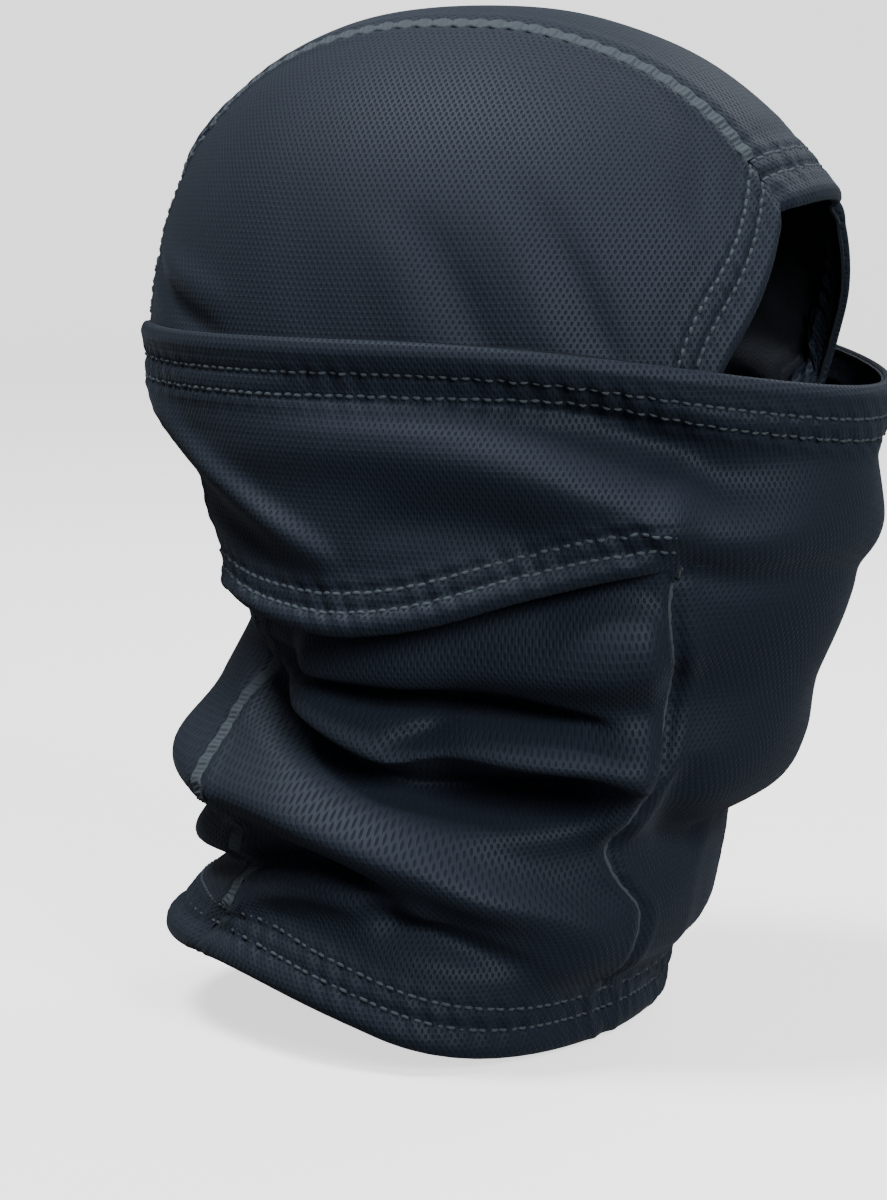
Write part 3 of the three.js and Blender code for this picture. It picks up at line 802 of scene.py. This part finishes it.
def worn_group():
    """Slow tone changes of washed cloth and a fine fuzz for the relief, from Object coordinates."""
    group, source, result = new_group(
        "worn_tone", [("Object", "NodeSocketVector", None), ("Strength", "NodeSocketFloat", 0.1)],
        [("Tone", "NodeSocketFloat"), ("Fuzz", "NodeSocketFloat")])
    broad = node(group, "ShaderNodeTexNoise")
    broad.inputs["Scale"].default_value = 28.0
    broad.inputs["Detail"].default_value = 4.0
    group.links.new(source.outputs["Object"], broad.inputs["Vector"])
    fuzz = node(group, "ShaderNodeTexNoise")
    fuzz.inputs["Scale"].default_value = 1500.0
    fuzz.inputs["Detail"].default_value = 3.0
    group.links.new(source.outputs["Object"], fuzz.inputs["Vector"])
    swing = calc(group, "SUBTRACT", broad.outputs[0], 0.5)
    swing = calc(group, "MULTIPLY", swing, source.outputs["Strength"])
    group.links.new(calc(group, "ADD", 1.0, swing), result.inputs["Tone"])
    group.links.new(fuzz.outputs[0], result.inputs["Fuzz"])
    return group


def principled(name, colour, roughness, sheen, sheen_roughness, sheen_tint, gloss=0.24):
    """A material with its Principled shader set to plain constants."""
    material = bpy.data.materials.new(name)
    material.use_nodes = True
    tree = material.node_tree
    shader = tree.nodes["Principled BSDF"]
    shader.inputs["Base Color"].default_value = (*colour, 1)
    shader.inputs["Roughness"].default_value = roughness
    shader.inputs["Specular IOR Level"].default_value = gloss
    shader.inputs["Specular Tint"].default_value = (0.77, 0.88, 1.0, 1)
    shader.inputs["Sheen Weight"].default_value = sheen
    shader.inputs["Sheen Roughness"].default_value = sheen_roughness
    shader.inputs["Sheen Tint"].default_value = (*sheen_tint, 1)
    return material, tree, shader


def toned(tree, shader, colour, tone):
    """Base colour times a tone factor."""
    mixer = node(tree, "ShaderNodeMix", data_type="RGBA", blend_type="MULTIPLY")
    mixer.inputs[0].default_value = 1.0
    mixer.inputs[6].default_value = (*colour, 1)
    grey = node(tree, "ShaderNodeCombineColor")
    for k in range(3):
        tree.links.new(tone, grey.inputs[k])
    tree.links.new(grey.outputs[0], mixer.inputs[7])
    tree.links.new(mixer.outputs[2], shader.inputs["Base Color"])


def knit_material(name, roughness=0.6, sheen=0.05):
    """Dark mesh knit with its dimples on the cloth map, painted shade in the dimples, and slow tone
    changes over the piece.
    """
    colour = settings().knit_colour
    material, tree, shader = principled(name, colour, roughness, sheen, 0.45, (0.72, 0.84, 1.0))
    cloth_map = node(tree, "ShaderNodeUVMap", uv_map="cloth_mm")
    place_in = node(tree, "ShaderNodeTexCoord")
    knit = node(tree, "ShaderNodeGroup", node_tree=bpy.data.node_groups["mesh_knit"])
    worn = node(tree, "ShaderNodeGroup", node_tree=bpy.data.node_groups["worn_tone"])
    tree.links.new(cloth_map.outputs[0], knit.inputs["Cloth mm"])
    knit.inputs["Column"].default_value = settings().knit_column / MM
    knit.inputs["Row"].default_value = settings().knit_row / MM
    tree.links.new(place_in.outputs["Object"], worn.inputs["Object"])
    worn.inputs["Strength"].default_value = 0.35
    # painted shade: the base colour is made about 30% darker in the dimples, where shade falls in the
    # knit's recesses
    painted_dimple_shade = calc(tree, "SUBTRACT", 1.08, calc(tree, "MULTIPLY", knit.outputs["Dimple"], 0.30))
    tone = calc(tree, "MULTIPLY", painted_dimple_shade, worn.outputs["Tone"])
    toned(tree, shader, colour, tone)
    gloss = calc(tree, "ADD", roughness, calc(tree, "MULTIPLY", knit.outputs["Dimple"], 0.25))
    tree.links.new(gloss, shader.inputs["Roughness"])
    height = calc(tree, "ADD", knit.outputs["Height"], calc(tree, "MULTIPLY", worn.outputs["Fuzz"], 0.25))
    bump = node(tree, "ShaderNodeBump")
    bump.inputs["Strength"].default_value = 0.9
    bump.inputs["Distance"].default_value = settings().knit_relief
    tree.links.new(height, bump.inputs["Height"])
    tree.links.new(bump.outputs[0], shader.inputs["Normal"])
    return material


def plain_material(name, colour, roughness, sheen, grain, depth, strength=0.3):
    """Brushed fleece or sewing thread: a soft tone with a fine fuzzy relief."""
    material, tree, shader = principled(name, colour, roughness, sheen, 0.5, (0.8, 0.88, 1.0), 0.12)
    place_in = node(tree, "ShaderNodeTexCoord")
    worn = node(tree, "ShaderNodeGroup", node_tree=bpy.data.node_groups["worn_tone"])
    tree.links.new(place_in.outputs["Object"], worn.inputs["Object"])
    worn.inputs["Strength"].default_value = strength
    fibres = node(tree, "ShaderNodeTexNoise")
    fibres.inputs["Scale"].default_value = grain
    fibres.inputs["Detail"].default_value = 5.0
    fibres.inputs["Roughness"].default_value = 0.7
    tree.links.new(place_in.outputs["Object"], fibres.inputs["Vector"])
    fibre_tone = calc(tree, "ADD", 0.72, calc(tree, "MULTIPLY", fibres.outputs[0], 0.56))
    tone = calc(tree, "MULTIPLY", worn.outputs["Tone"], fibre_tone)
    toned(tree, shader, colour, tone)
    bump = node(tree, "ShaderNodeBump")
    bump.inputs["Strength"].default_value = 0.8
    bump.inputs["Distance"].default_value = depth * MM
    relief = calc(tree, "ADD", fibres.outputs[0], calc(tree, "MULTIPLY", worn.outputs["Fuzz"], 0.4))
    tree.links.new(relief, bump.inputs["Height"])
    tree.links.new(bump.outputs[0], shader.inputs["Normal"])
    return material


# ---- panel finishing ----
def away_from(p, axis, end):
    """Length along an axis of a grid from one of its edges."""
    run = lengths(p, axis)
    if end:
        run = np.take(run, [-1], axis=axis) - run
    return run


def hem_relief(d, rows, edge_s):
    """Height over a hem at distance d from its edge: a soft roll at the edge, puffs between the
    needle rows and a sharp groove along each of them, deeper at every stitch."""
    high = 0.75 * np.exp(-((d - 2.2) / 2.4) ** 2)
    last = max(rows)
    puff = np.where(d < last, 0.35 * np.sin(np.clip(d / min(rows), 0, 1) * math.pi), 0)
    pull = 0.75 + 0.25 * np.cos(2 * math.pi * edge_s / stitch_pitch())
    for at in rows:
        high = high - (0.85 * pull) * np.exp(-((d - at) / 1.25) ** 2)
        high = high + 0.30 * np.exp(-((d - at) / 3.2) ** 2) * np.sin(2 * math.pi * edge_s / 7.9 + at)
    high = high - 0.45 * smooth(last - 1, last + 5, d) * np.exp(-((d - last - 5) / 4) ** 2)
    return high + puff


def seam_relief(d, width=SEAM_WIDTH):
    """Height beside a flatlock seam: a shallow trough under it and a soft swell beside it."""
    return -0.45 * np.exp(-(d / (width * 0.62)) ** 2) + 0.45 * np.exp(-((d - width * 1.25) / 2.4) ** 2)


def pucker(d, s, pitch=5.3, size=0.32, reach=5.0):
    """Small gathers that a seam or row draws into the cloth beside it."""
    return size * np.exp(-(d / reach) ** 2) * np.sin(2 * math.pi * s / pitch + 0.9 * np.sin(s / 17))


def push(p, height):
    """Points moved along the grid's own normals by a height each."""
    return p + normals(p) * height[..., None]


def arc_uv(y, z, width_at, z0=HOOD_WIDEST_Z, steps=48):
    """Flat pattern of a lifted sheet: lengths along a level line and along an upright line, each
    from the middle of the sheet, with the surface width_at(y, z) off the plane."""
    k = np.linspace(0, 1, steps)
    ys = y[..., None] * k
    w = width_at(ys, np.broadcast_to(z[..., None], ys.shape))
    u = np.sign(y) * np.sum(np.hypot(np.diff(ys), np.diff(w)), -1)
    zs = z0 + (z[..., None] - z0) * k
    w = width_at(np.broadcast_to(y[..., None], zs.shape), zs)
    v = np.sign(z - z0) * np.sum(np.hypot(np.diff(zs), np.diff(w)), -1)
    return np.stack([u, v], -1)


def line_at(p, axis, distance, end=False):
    """The line on a grid at a distance from one edge, and its normals."""
    n = normals(p)
    if axis == 0:
        q, m = p, n
    else:
        q, m = p.swapaxes(0, 1), n.swapaxes(0, 1)
    if end:
        q, m = q[::-1], m[::-1]
    run = lengths(q, 0)
    i = np.argmax(run >= distance, axis=0)
    i = np.clip(i, 1, len(q) - 1)
    c = np.arange(q.shape[1])
    lo, hi = run[i - 1, c], run[i, c]
    t = ((distance - lo) / np.maximum(hi - lo, SHORT_REACH))[:, None]
    line = mix(q[i - 1, c], q[i, c], t)
    m = mix(m[i - 1, c], m[i, c], t)
    return line, m / np.linalg.norm(m, axis=-1, keepdims=True)


def hem_layer(name, p, uv, count, material):
    """The turned-in layer of a hem: the first count rows of a panel, moved inside it, with the
    knit facing in. Its raw edge wavers a little."""
    n = normals(p)[:count].mean(axis=0, keepdims=True)
    for _ in range(HEM_SMOOTHING):
        n[:, 1:-1] = (n[:, :-2] + 2 * n[:, 1:-1] + n[:, 2:]) / 4
    n = n / np.linalg.norm(n, axis=-1, keepdims=True)
    q = p[:count] - 2 * TURN * n
    s = lengths(q, 1)
    waver = (0.22 * np.sin(s / 6.1) + 0.16 * np.sin(s / 2.7 + 1)) * np.linspace(0, 1, count)[:, None]
    q = q + n * waver[..., None]
    piece = grid_mesh(name, q, -uv[:count], flip=not outer_side_of(q))
    piece.data.materials.append(material)
    piece.data.materials.append(bpy.data.materials["brushed_fleece"])
    solid = piece.modifiers.new("thickness", "SOLIDIFY")
    solid.thickness = settings().hem_thickness
    solid.offset = -1
    solid.material_offset = 1
    solid.material_offset_rim = 1
    return piece


def mirrored(p):
    """The same points on the other side of the middle plane."""
    return p * np.array([-1.0, 1.0, 1.0])


# ---- pieces ----
NECK_BLEND = ((0, -0.080, -0.026), (0, -0.020, -0.100))
SPLIT, OVERLAP = 0.42, 0.51  # shares down the side: the neck piece starts, the hood piece ends
TUCK = 2.6  # how far inside the neck piece the hood piece lies
MASK_BLEND = ((0, 0.030, 0.0), (0, 0.085, 0.0))


def make_materials():
    """Makes the knit, fleece and thread materials from the settings."""
    mesh_knit_group()
    worn_group()
    plain_material("brushed_fleece", settings().fleece_colour, 0.9, 0.15, 900.0, 0.5, 0.3)
    plain_material("thread", settings().thread_colour, 0.75, 0.0, 2600.0, 0.12, 0.2)
    knit_material("mesh_knit_body")
    knit_material("mesh_knit_mask")


def get_material(name):
    """A material by its name; the first call makes them all."""
    if name not in bpy.data.materials:
        make_materials()
    return bpy.data.materials[name]


def side_sheet(sign):
    """A side panel's finished grid with its UV map; sign is +1 on the wearer's right."""
    u, v = np.meshgrid(np.linspace(0, 1, 176), np.linspace(0, 1, 232))
    bare = side_point(u, v)
    uv = arc_uv(bare[..., 1], bare[..., 2], half_width) * np.array([sign, 1.0])
    p = draped(bare if sign > 0 else mirrored(bare))
    front, back = away_from(p, 1, False), away_from(p, 1, True)
    top, low = away_from(p, 0, False), away_from(p, 0, True)
    across, down = lengths(p, 1), lengths(p, 0)
    face = smooth(FACE_SHARE + 0.01, FACE_SHARE - 0.02, v)
    high = face * (hem_relief(front, FACE_ROWS, down) + pucker(front - 10, down, 6.1, 0.25))
    high += (1 - face) * (seam_relief(front) + 0.3 * pucker(front, down))
    high += seam_relief(back) + pucker(back, down, 6.3)
    high += seam_relief(top) + pucker(top, across, 5.7)
    high += hem_relief(low, NECK_ROWS, across) + pucker(low - 8, across, 6.6, 0.3)
    return push(p, high), uv, face[:, 0]


def strip_sheet():
    """The centre strip's finished grid with its UV map."""
    share, t = np.meshgrid(np.linspace(1, -1, 62), np.linspace(0, 1, 360))
    bare = back_point(t, share)
    uv = np.stack([bare[..., 0], -lengths(bare, 0)[:, 30:31] + 0 * share], -1)
    p = draped(bare)
    left, right = away_from(p, 1, False), away_from(p, 1, True)
    brow, low = away_from(p, 0, False), away_from(p, 0, True)
    across, down = lengths(p, 1), lengths(p, 0)
    high = seam_relief(left) + seam_relief(right) + pucker(left, down, 5.7) + pucker(right, down, 5.9)
    high += hem_relief(brow, FACE_ROWS, across) + pucker(brow - 10, across, 6.1, 0.2)
    high += hem_relief(low, NECK_ROWS, across) + pucker(low - 8, across, 6.6, 0.3)
    return push(p, high), uv


def front_sheet():
    """The front panel's finished grid with its UV map."""
    u, v = np.meshgrid(np.linspace(0, 1, 120), np.linspace(0, 1, 190))
    bare = front_point(u, v)
    across = lengths(bare, 1)
    uv = np.stack([across - across[:, -1:] / 2, MASK_LOW[0, 1] - lengths(bare, 0)], -1)
    p = draped(bare)
    right, left, low = away_from(p, 1, False), away_from(p, 1, True), away_from(p, 0, True)
    across, down = lengths(p, 1), lengths(p, 0)
    high = seam_relief(left) + seam_relief(right) + 0.3 * (pucker(left, down) + pucker(right, down))
    high += hem_relief(low, NECK_ROWS, across) + pucker(low - 8, across, 6.6, 0.3)
    return push(p, high), uv


def mask_sheet():
    """The mask's finished grid with its UV map, and how much of each column is free below."""
    u, v = np.meshgrid(np.linspace(0, 1, 430), np.append(np.linspace(0, 1, 92)[:-1], [0.9985, 1]))
    bare = mask_point(u, v)
    across = lengths(bare, 1)
    uv = np.stack([across - across[:, 215:216], bare[..., 2]], -1)
    top, low = away_from(bare, 0, False), away_from(bare, 0, True)
    wing = wing_share(mask_angle(u, v))
    p = mask_draped(bare, top, low, wing)
    across, down = lengths(p, 1), lengths(p, 0)
    right, left = away_from(p, 1, False), away_from(p, 1, True)
    high = hem_relief(top, MASK_ROWS, across) + pucker(top - 9, across, 7.1, 0.25)
    high += wing * (hem_relief(low, WING_ROWS, across) + pucker(low - 6.5, across, 6.3, 0.3))
    high += seam_relief(left) + seam_relief(right) + pucker(left, down) + pucker(right, down)
    return push(p, high), uv, wing[-1]


def hem_inside(name, p, uv, width, knit):
    """The inner layer of a hem along the first rows of a grid, about width deep."""
    step = np.median(np.linalg.norm(np.diff(p[: 20], axis=0), axis=-1))
    count = max(int(width / step), 4)
    across, down = sheet_size(p[:count])
    return baked(hem_layer(name, p, uv, count, get_material(knit))), (across, max(down, LEAST_FLAT))


def declare(piece, body, nodes, blend=None):
    """Hides the frame nodes that a piece stands for; a piece given a blend has its place baked into its
    mesh, any other is parented to its body's empty.
    """
    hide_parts(*(nodes or [piece.name.removeprefix(PREFIX)]))
    if blend:
        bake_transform(piece)
    else:
        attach(piece, body)
    return piece


def sheet_size(p):
    """Width and length of a grid along its middle row and column, in metres."""
    across = lengths(p, 1)[:, -1].mean()
    down = lengths(p, 0)[-1].mean()
    return (round(float(across) * MM, 3), round(float(down) * MM, 3))


def build_side(sign):
    """A side panel in two sheets, with its face hem, needle rows and front seam. The hood sheet
    ends inside the neck sheet, under the mask's wing."""
    label = "right" if sign > 0 else "left"
    p, uv, face = side_sheet(sign)
    n = normals(p)
    cut, over = int(SPLIT * (len(p) - 1)), int(OVERLAP * (len(p) - 1))
    v = np.linspace(0, 1, len(p))[:, None, None]
    under = p - n * TUCK * (smooth(SPLIT - 0.03, SPLIT, v) + smooth(SPLIT, OVERLAP, v))
    edge = np.maximum(face, smooth(SPLIT - 0.02, SPLIT, v[:, 0, 0]))[:over]
    q, quv = turned(under[:over], n[:over], uv[:over], edge, 1, False)
    hood = baked(cloth(f"hood_side_{label}", q, quv, get_material("mesh_knit_body")))
    q, quv = turned(p[cut:], n[cut:], uv[cut:], 1, 0, True)
    panel = baked(cloth(f"neck_side_{label}", q, quv, get_material("mesh_knit_body")))
    rows = int(FACE_SHARE * (len(p) - 1))
    layer, flat = hem_inside(
        f"face_hem_{label}", under[:rows].swapaxes(0, 1), uv[:rows].swapaxes(0, 1), FACE_HEM_DEPTH,
        "mesh_knit_body")
    declare(hood, ROOT, [f"side_panel_{label}"])
    declare(panel, ROOT, [f"side_panel_{label}"], blend=NECK_BLEND)
    declare(layer, ROOT, [f"face_hem_{label}"])
    for row, distance in zip(("outer", "inner"), FACE_ROWS):
        line, m = line_at(under[: rows - 4], 1, distance)
        thread = needle_row(f"face_stitch_{row}_{label}", line, m, get_material("thread"))
        declare(thread, ROOT, None)
    low, m = line_at(p, 1, 0.05)
    seam_rows = slice(rows - 2, len(p) - 13)
    seam = welt(f"front_seam_{label}", low[seam_rows], m[seam_rows], get_material("thread"))
    declare(seam, ROOT, None, blend=NECK_BLEND)
    return p


def build_strip():
    """The centre strip with the brow hem, its needle rows and the seams along both sides."""
    p, uv = strip_sheet()
    q, quv = turned(p, normals(p), uv, 1, 0, True)
    q, quv = turned(q, normals(q), quv, 1, 0, False)
    strip = baked(cloth("centre_strip", q, quv, get_material("mesh_knit_body")))
    layer, flat = hem_inside("brow_hem", p, uv, FACE_HEM_DEPTH, "mesh_knit_body")
    declare(strip, ROOT, ["centre_strip"])
    declare(layer, ROOT, ["brow_hem"])
    for row, distance in zip(("outer", "inner"), FACE_ROWS):
        line, m = line_at(p, 0, distance)
        thread = needle_row(f"brow_stitch_{row}", line, m, get_material("thread"))
        declare(thread, ROOT, None)
    split = int(0.63 * (len(p) - 1))
    end = len(p) - 13
    for side, axis_end in (("left", False), ("right", True)):
        line, m = line_at(p, 1, 0.05, axis_end)
        parts = ((f"crown_seam_{side}", slice(13, split)), (f"nape_seam_{side}", slice(split, end)))
        for name, rows in parts:
            seam = flatlock(name, line[rows], m[rows], get_material("thread"))
            declare(seam, ROOT, [name])
    return p


def build_front():
    """The panel over the chin and throat, with its lower edge turned in."""
    p, uv = front_sheet()
    q, quv = turned(p, normals(p), uv, 1, 0, True)
    panel = baked(cloth("front_panel", q, quv, get_material("mesh_knit_body")))
    declare(panel, ROOT, ["front_panel"], blend=NECK_BLEND)
    return p


def build_neck_hem():
    """The turned-in bottom hem: a ring inside the panels with two needle rows outside."""
    angle, up = np.meshgrid(np.linspace(0, 360, 520)[:-1], np.linspace(0, NECK_HEM_DEPTH, 16))
    edge = neck_point(angle, HEM_BACK_Z)
    low = hem_z(edge[..., 1])
    bare = neck_point(angle, low + up)
    p = draped(bare)
    across = lengths(p, 1)
    n = normals_ring(p)
    wave = 0.22 * np.sin(across / 6.1) + 0.16 * np.sin(across / 2.7 + 1)
    q = p - (2 * TURN + 0.2 - wave * up / NECK_HEM_DEPTH)[..., None] * n
    ring = grid_mesh("neck_hem", q, close_u=True, flip=False)
    ring.data.materials.append(get_material("brushed_fleece"))
    solid = ring.modifiers.new("thickness", "SOLIDIFY")
    solid.thickness = settings().hem_thickness
    solid.offset = 0
    baked(ring)
    declare(ring, ROOT, ["neck_hem"])
    for row, distance in zip(("lower", "upper"), NECK_ROWS):
        k = int(round(distance / NECK_HEM_DEPTH * 15))
        line = np.concatenate([p[k], p[k, :1]])
        m = np.concatenate([n[k], n[k, :1]])
        thread = needle_row(f"neck_stitch_{row}", line - 0.5 * m, m, get_material("thread"))
        declare(thread, ROOT, None)


def normals_ring(p):
    """Unit normals of a grid that closes on itself across."""
    across = np.roll(p, -1, axis=1) - np.roll(p, 1, axis=1)
    n = np.cross(across, np.gradient(p, axis=0))
    n /= np.maximum(np.linalg.norm(n, axis=-1, keepdims=True), SHORT_REACH)
    return n * np.sign(np.mean(np.sum(n * outward(p), -1)))


def build_mask():
    """The mask with its top hem, its two wing hems and their needle rows."""
    p, uv, wing = mask_sheet()
    q, quv = turned(p, normals(p), uv, wing, 0, True)
    q, quv = turned(q, normals(q), quv, 1, 0, False)
    panel = baked(cloth("mask_panel", q, quv, get_material("mesh_knit_mask")))
    top, flat = hem_inside("mask_top_hem", p, uv, MASK_HEM_DEPTH, "mesh_knit_mask")
    declare(panel, MASK, ["mask_panel"], blend=MASK_BLEND)
    declare(top, MASK, ["mask_top_hem"], blend=MASK_BLEND)
    for row, distance in zip(("upper", "lower"), MASK_ROWS):
        line, m = line_at(p, 0, distance)
        thread = needle_row(f"mask_top_stitch_{row}", line, m, get_material("thread"))
        declare(thread, MASK, None, blend=MASK_BLEND)
    cols = p.shape[1]
    end = int(0.335 * cols)
    for side, part in (("right", slice(2, end)), ("left", slice(cols - end, cols - 2))):
        low = p[::-1, part]
        layer, flat = hem_inside(f"wing_hem_{side}", low, uv[::-1, part], WING_HEM_DEPTH, "mesh_knit_mask")
        declare(layer, MASK, None, blend=MASK_BLEND)
        for row, distance in zip(("lower", "upper"), WING_ROWS):
            line, m = line_at(p[:, part], 0, distance, True)
            thread = needle_row(f"wing_stitch_{row}_{side}", line, m, get_material("thread"))
            declare(thread, MASK, None, blend=MASK_BLEND)


def build_stage():
    """Pale floor and backdrop, soft lights, and the camera."""
    scene = bpy.context.scene
    paper = bpy.data.materials.new("paper")
    paper.use_nodes = True
    shader = paper.node_tree.nodes["Principled BSDF"]
    shader.inputs["Base Color"].default_value = (0.86, 0.86, 0.87, 1)
    shader.inputs["Emission Color"].default_value = (1, 1, 1, 1)
    shader.inputs["Emission Strength"].default_value = studio().paper_glow
    shader.inputs["Roughness"].default_value = 0.9
    turn, s = np.meshgrid(np.linspace(0, 2 * math.pi, 97)[:-1], np.linspace(0, 1, 60))
    bend = np.clip((s - 0.5) / 0.25, 0, 1) * math.pi / 2
    reach = 2.4 * np.clip(s / 0.5, 0, 1) + 0.9 * np.sin(bend)
    rise = 0.9 * (1 - np.cos(bend)) + 3.0 * np.clip((s - 0.75) / 0.25, 0, 1)
    bowl_mm = stack(reach * np.cos(turn), reach * np.sin(turn), FLOOR_Z * MM + rise) / MM
    bowl = grid_mesh("studio_floor", bowl_mm, close_u=True)
    bowl.data.materials.append(paper)
    bowl.visible_diffuse = False
    bowl.visible_glossy = False
    bowl.visible_shadow = False
    world = scene.world or bpy.data.worlds.new("studio")
    scene.world = world
    world.use_nodes = True
    world.node_tree.nodes["Background"].inputs[0].default_value = (0.93, 0.96, 1.0, 1)
    world.node_tree.nodes["Background"].inputs[1].default_value = studio().sky_strength
    for name, where, size in LAMPS:
        lamp = bpy.data.lights.new(name, "AREA")
        lamp.shape = "DISK"
        lamp.size = size
        lamp.energy = getattr(studio(), f"{name}_power")
        light = bpy.data.objects.new(name, lamp)
        scene.collection.objects.link(light)
        light.location = where
        light.rotation_euler = (Vector((0, 0, 0)) - Vector(where)).to_track_quat("-Z", "Y").to_euler()
    lens = bpy.data.cameras.new("camera")
    camera = bpy.data.objects.new("camera", lens)
    scene.collection.objects.link(camera)
    scene.camera = camera
    lens.sensor_width, lens.lens = 36.0, CAMERA["lens"]
    az, el = math.radians(CAMERA["azimuth"]), math.radians(CAMERA["elevation"])
    r = Vector((math.cos(az), math.sin(az), 0))
    b = Vector((math.sin(az) * math.cos(el), -math.cos(az) * math.cos(el), math.sin(el)))
    up = b.cross(r)
    target = r * CAMERA["right"] + up * CAMERA["up"]
    camera.location = target + b * CAMERA["distance"]
    camera.rotation_euler = Matrix((r, up, b)).transposed().to_euler()


CAMERA = {
    "azimuth": -67.0,
    "elevation": 8.0,
    "distance": 1.10,
    "right": -0.0117,
    "up": -0.044,
    "lens": 113.8,
}
FLOOR_Z = -166.0
# each lamp: name, place in metres, diameter in metres
LAMPS = [
    ("key", (-0.5, 0.5, 1.85), 0.7),
    ("front", (-1.3, -1.5, 0.9), 1.0),
    ("rim", (1.2, -0.5, 1.3), 0.8),
]


class BALACLAVA_OT_studio(Operator):
    """Adds the pale floor, the lamps and the camera"""

    bl_idname = "balaclava.studio"
    bl_label = "Studio"

    def execute(self, context):
        build_stage()
        return {"FINISHED"}


class BALACLAVA_OT_side_panels(Operator):
    """Makes both side panels with their face hems, needle rows and front seams"""

    bl_idname = "balaclava.side_panels"
    bl_label = "Side panels"

    def execute(self, context):
        for sign in (1, -1):
            build_side(sign)
        return {"FINISHED"}


class BALACLAVA_OT_centre_strip(Operator):
    """Makes the strip over the crown with the brow hem and its four ladder seams"""

    bl_idname = "balaclava.centre_strip"
    bl_label = "Centre strip"

    def execute(self, context):
        build_strip()
        return {"FINISHED"}


class BALACLAVA_OT_front_panel(Operator):
    """Makes the panel over the chin and throat"""

    bl_idname = "balaclava.front_panel"
    bl_label = "Front panel"

    def execute(self, context):
        build_front()
        return {"FINISHED"}


class BALACLAVA_OT_neck_hem(Operator):
    """Makes the turned-in bottom hem and its two needle rows"""

    bl_idname = "balaclava.neck_hem"
    bl_label = "Neck hem"

    def execute(self, context):
        build_neck_hem()
        return {"FINISHED"}


class BALACLAVA_OT_mask(Operator):
    """Makes the pull-down mask with its hems and needle rows"""

    bl_idname = "balaclava.mask"
    bl_label = "Mask"

    def execute(self, context):
        build_mask()
        return {"FINISHED"}


OPERATORS = (
    BALACLAVA_OT_studio,
    BALACLAVA_OT_side_panels,
    BALACLAVA_OT_centre_strip,
    BALACLAVA_OT_front_panel,
    BALACLAVA_OT_neck_hem,
    BALACLAVA_OT_mask,
)


class BALACLAVA_PT_pieces(Panel):
    """Lists the settings and a button for each group of pieces"""

    bl_idname = "BALACLAVA_PT_pieces"
    bl_label = "Balaclava"
    bl_space_type = "VIEW_3D"
    bl_region_type = "UI"
    bl_category = "Balaclava"

    def draw(self, context):
        for group in (settings(), studio()):
            box = self.layout.box()
            for name in group.__annotations__:
                box.prop(group, name)
        for made_by in OPERATORS:
            self.layout.operator(made_by.bl_idname)


CLASSES = (BalaclavaSettings, BalaclavaStudio, *OPERATORS, BALACLAVA_PT_pieces)


def register():
    """Registers the classes and puts the settings on the scene."""
    for kind in CLASSES:
        bpy.utils.register_class(kind)
    bpy.types.Scene.balaclava = PointerProperty(type=BalaclavaSettings)
    bpy.types.Scene.balaclava_studio = PointerProperty(type=BalaclavaStudio)


def unregister():
    """Takes away what register added."""
    del bpy.types.Scene.balaclava_studio
    del bpy.types.Scene.balaclava
    for kind in reversed(CLASSES):
        bpy.utils.unregister_class(kind)


def main():
    """Makes every piece in order."""
    register()
    bpy.ops.balaclava.studio()
    bpy.ops.balaclava.side_panels()
    bpy.ops.balaclava.centre_strip()
    bpy.ops.balaclava.front_panel()
    bpy.ops.balaclava.neck_hem()
    bpy.ops.balaclava.mask()


if __name__ == "__main__":
    main()
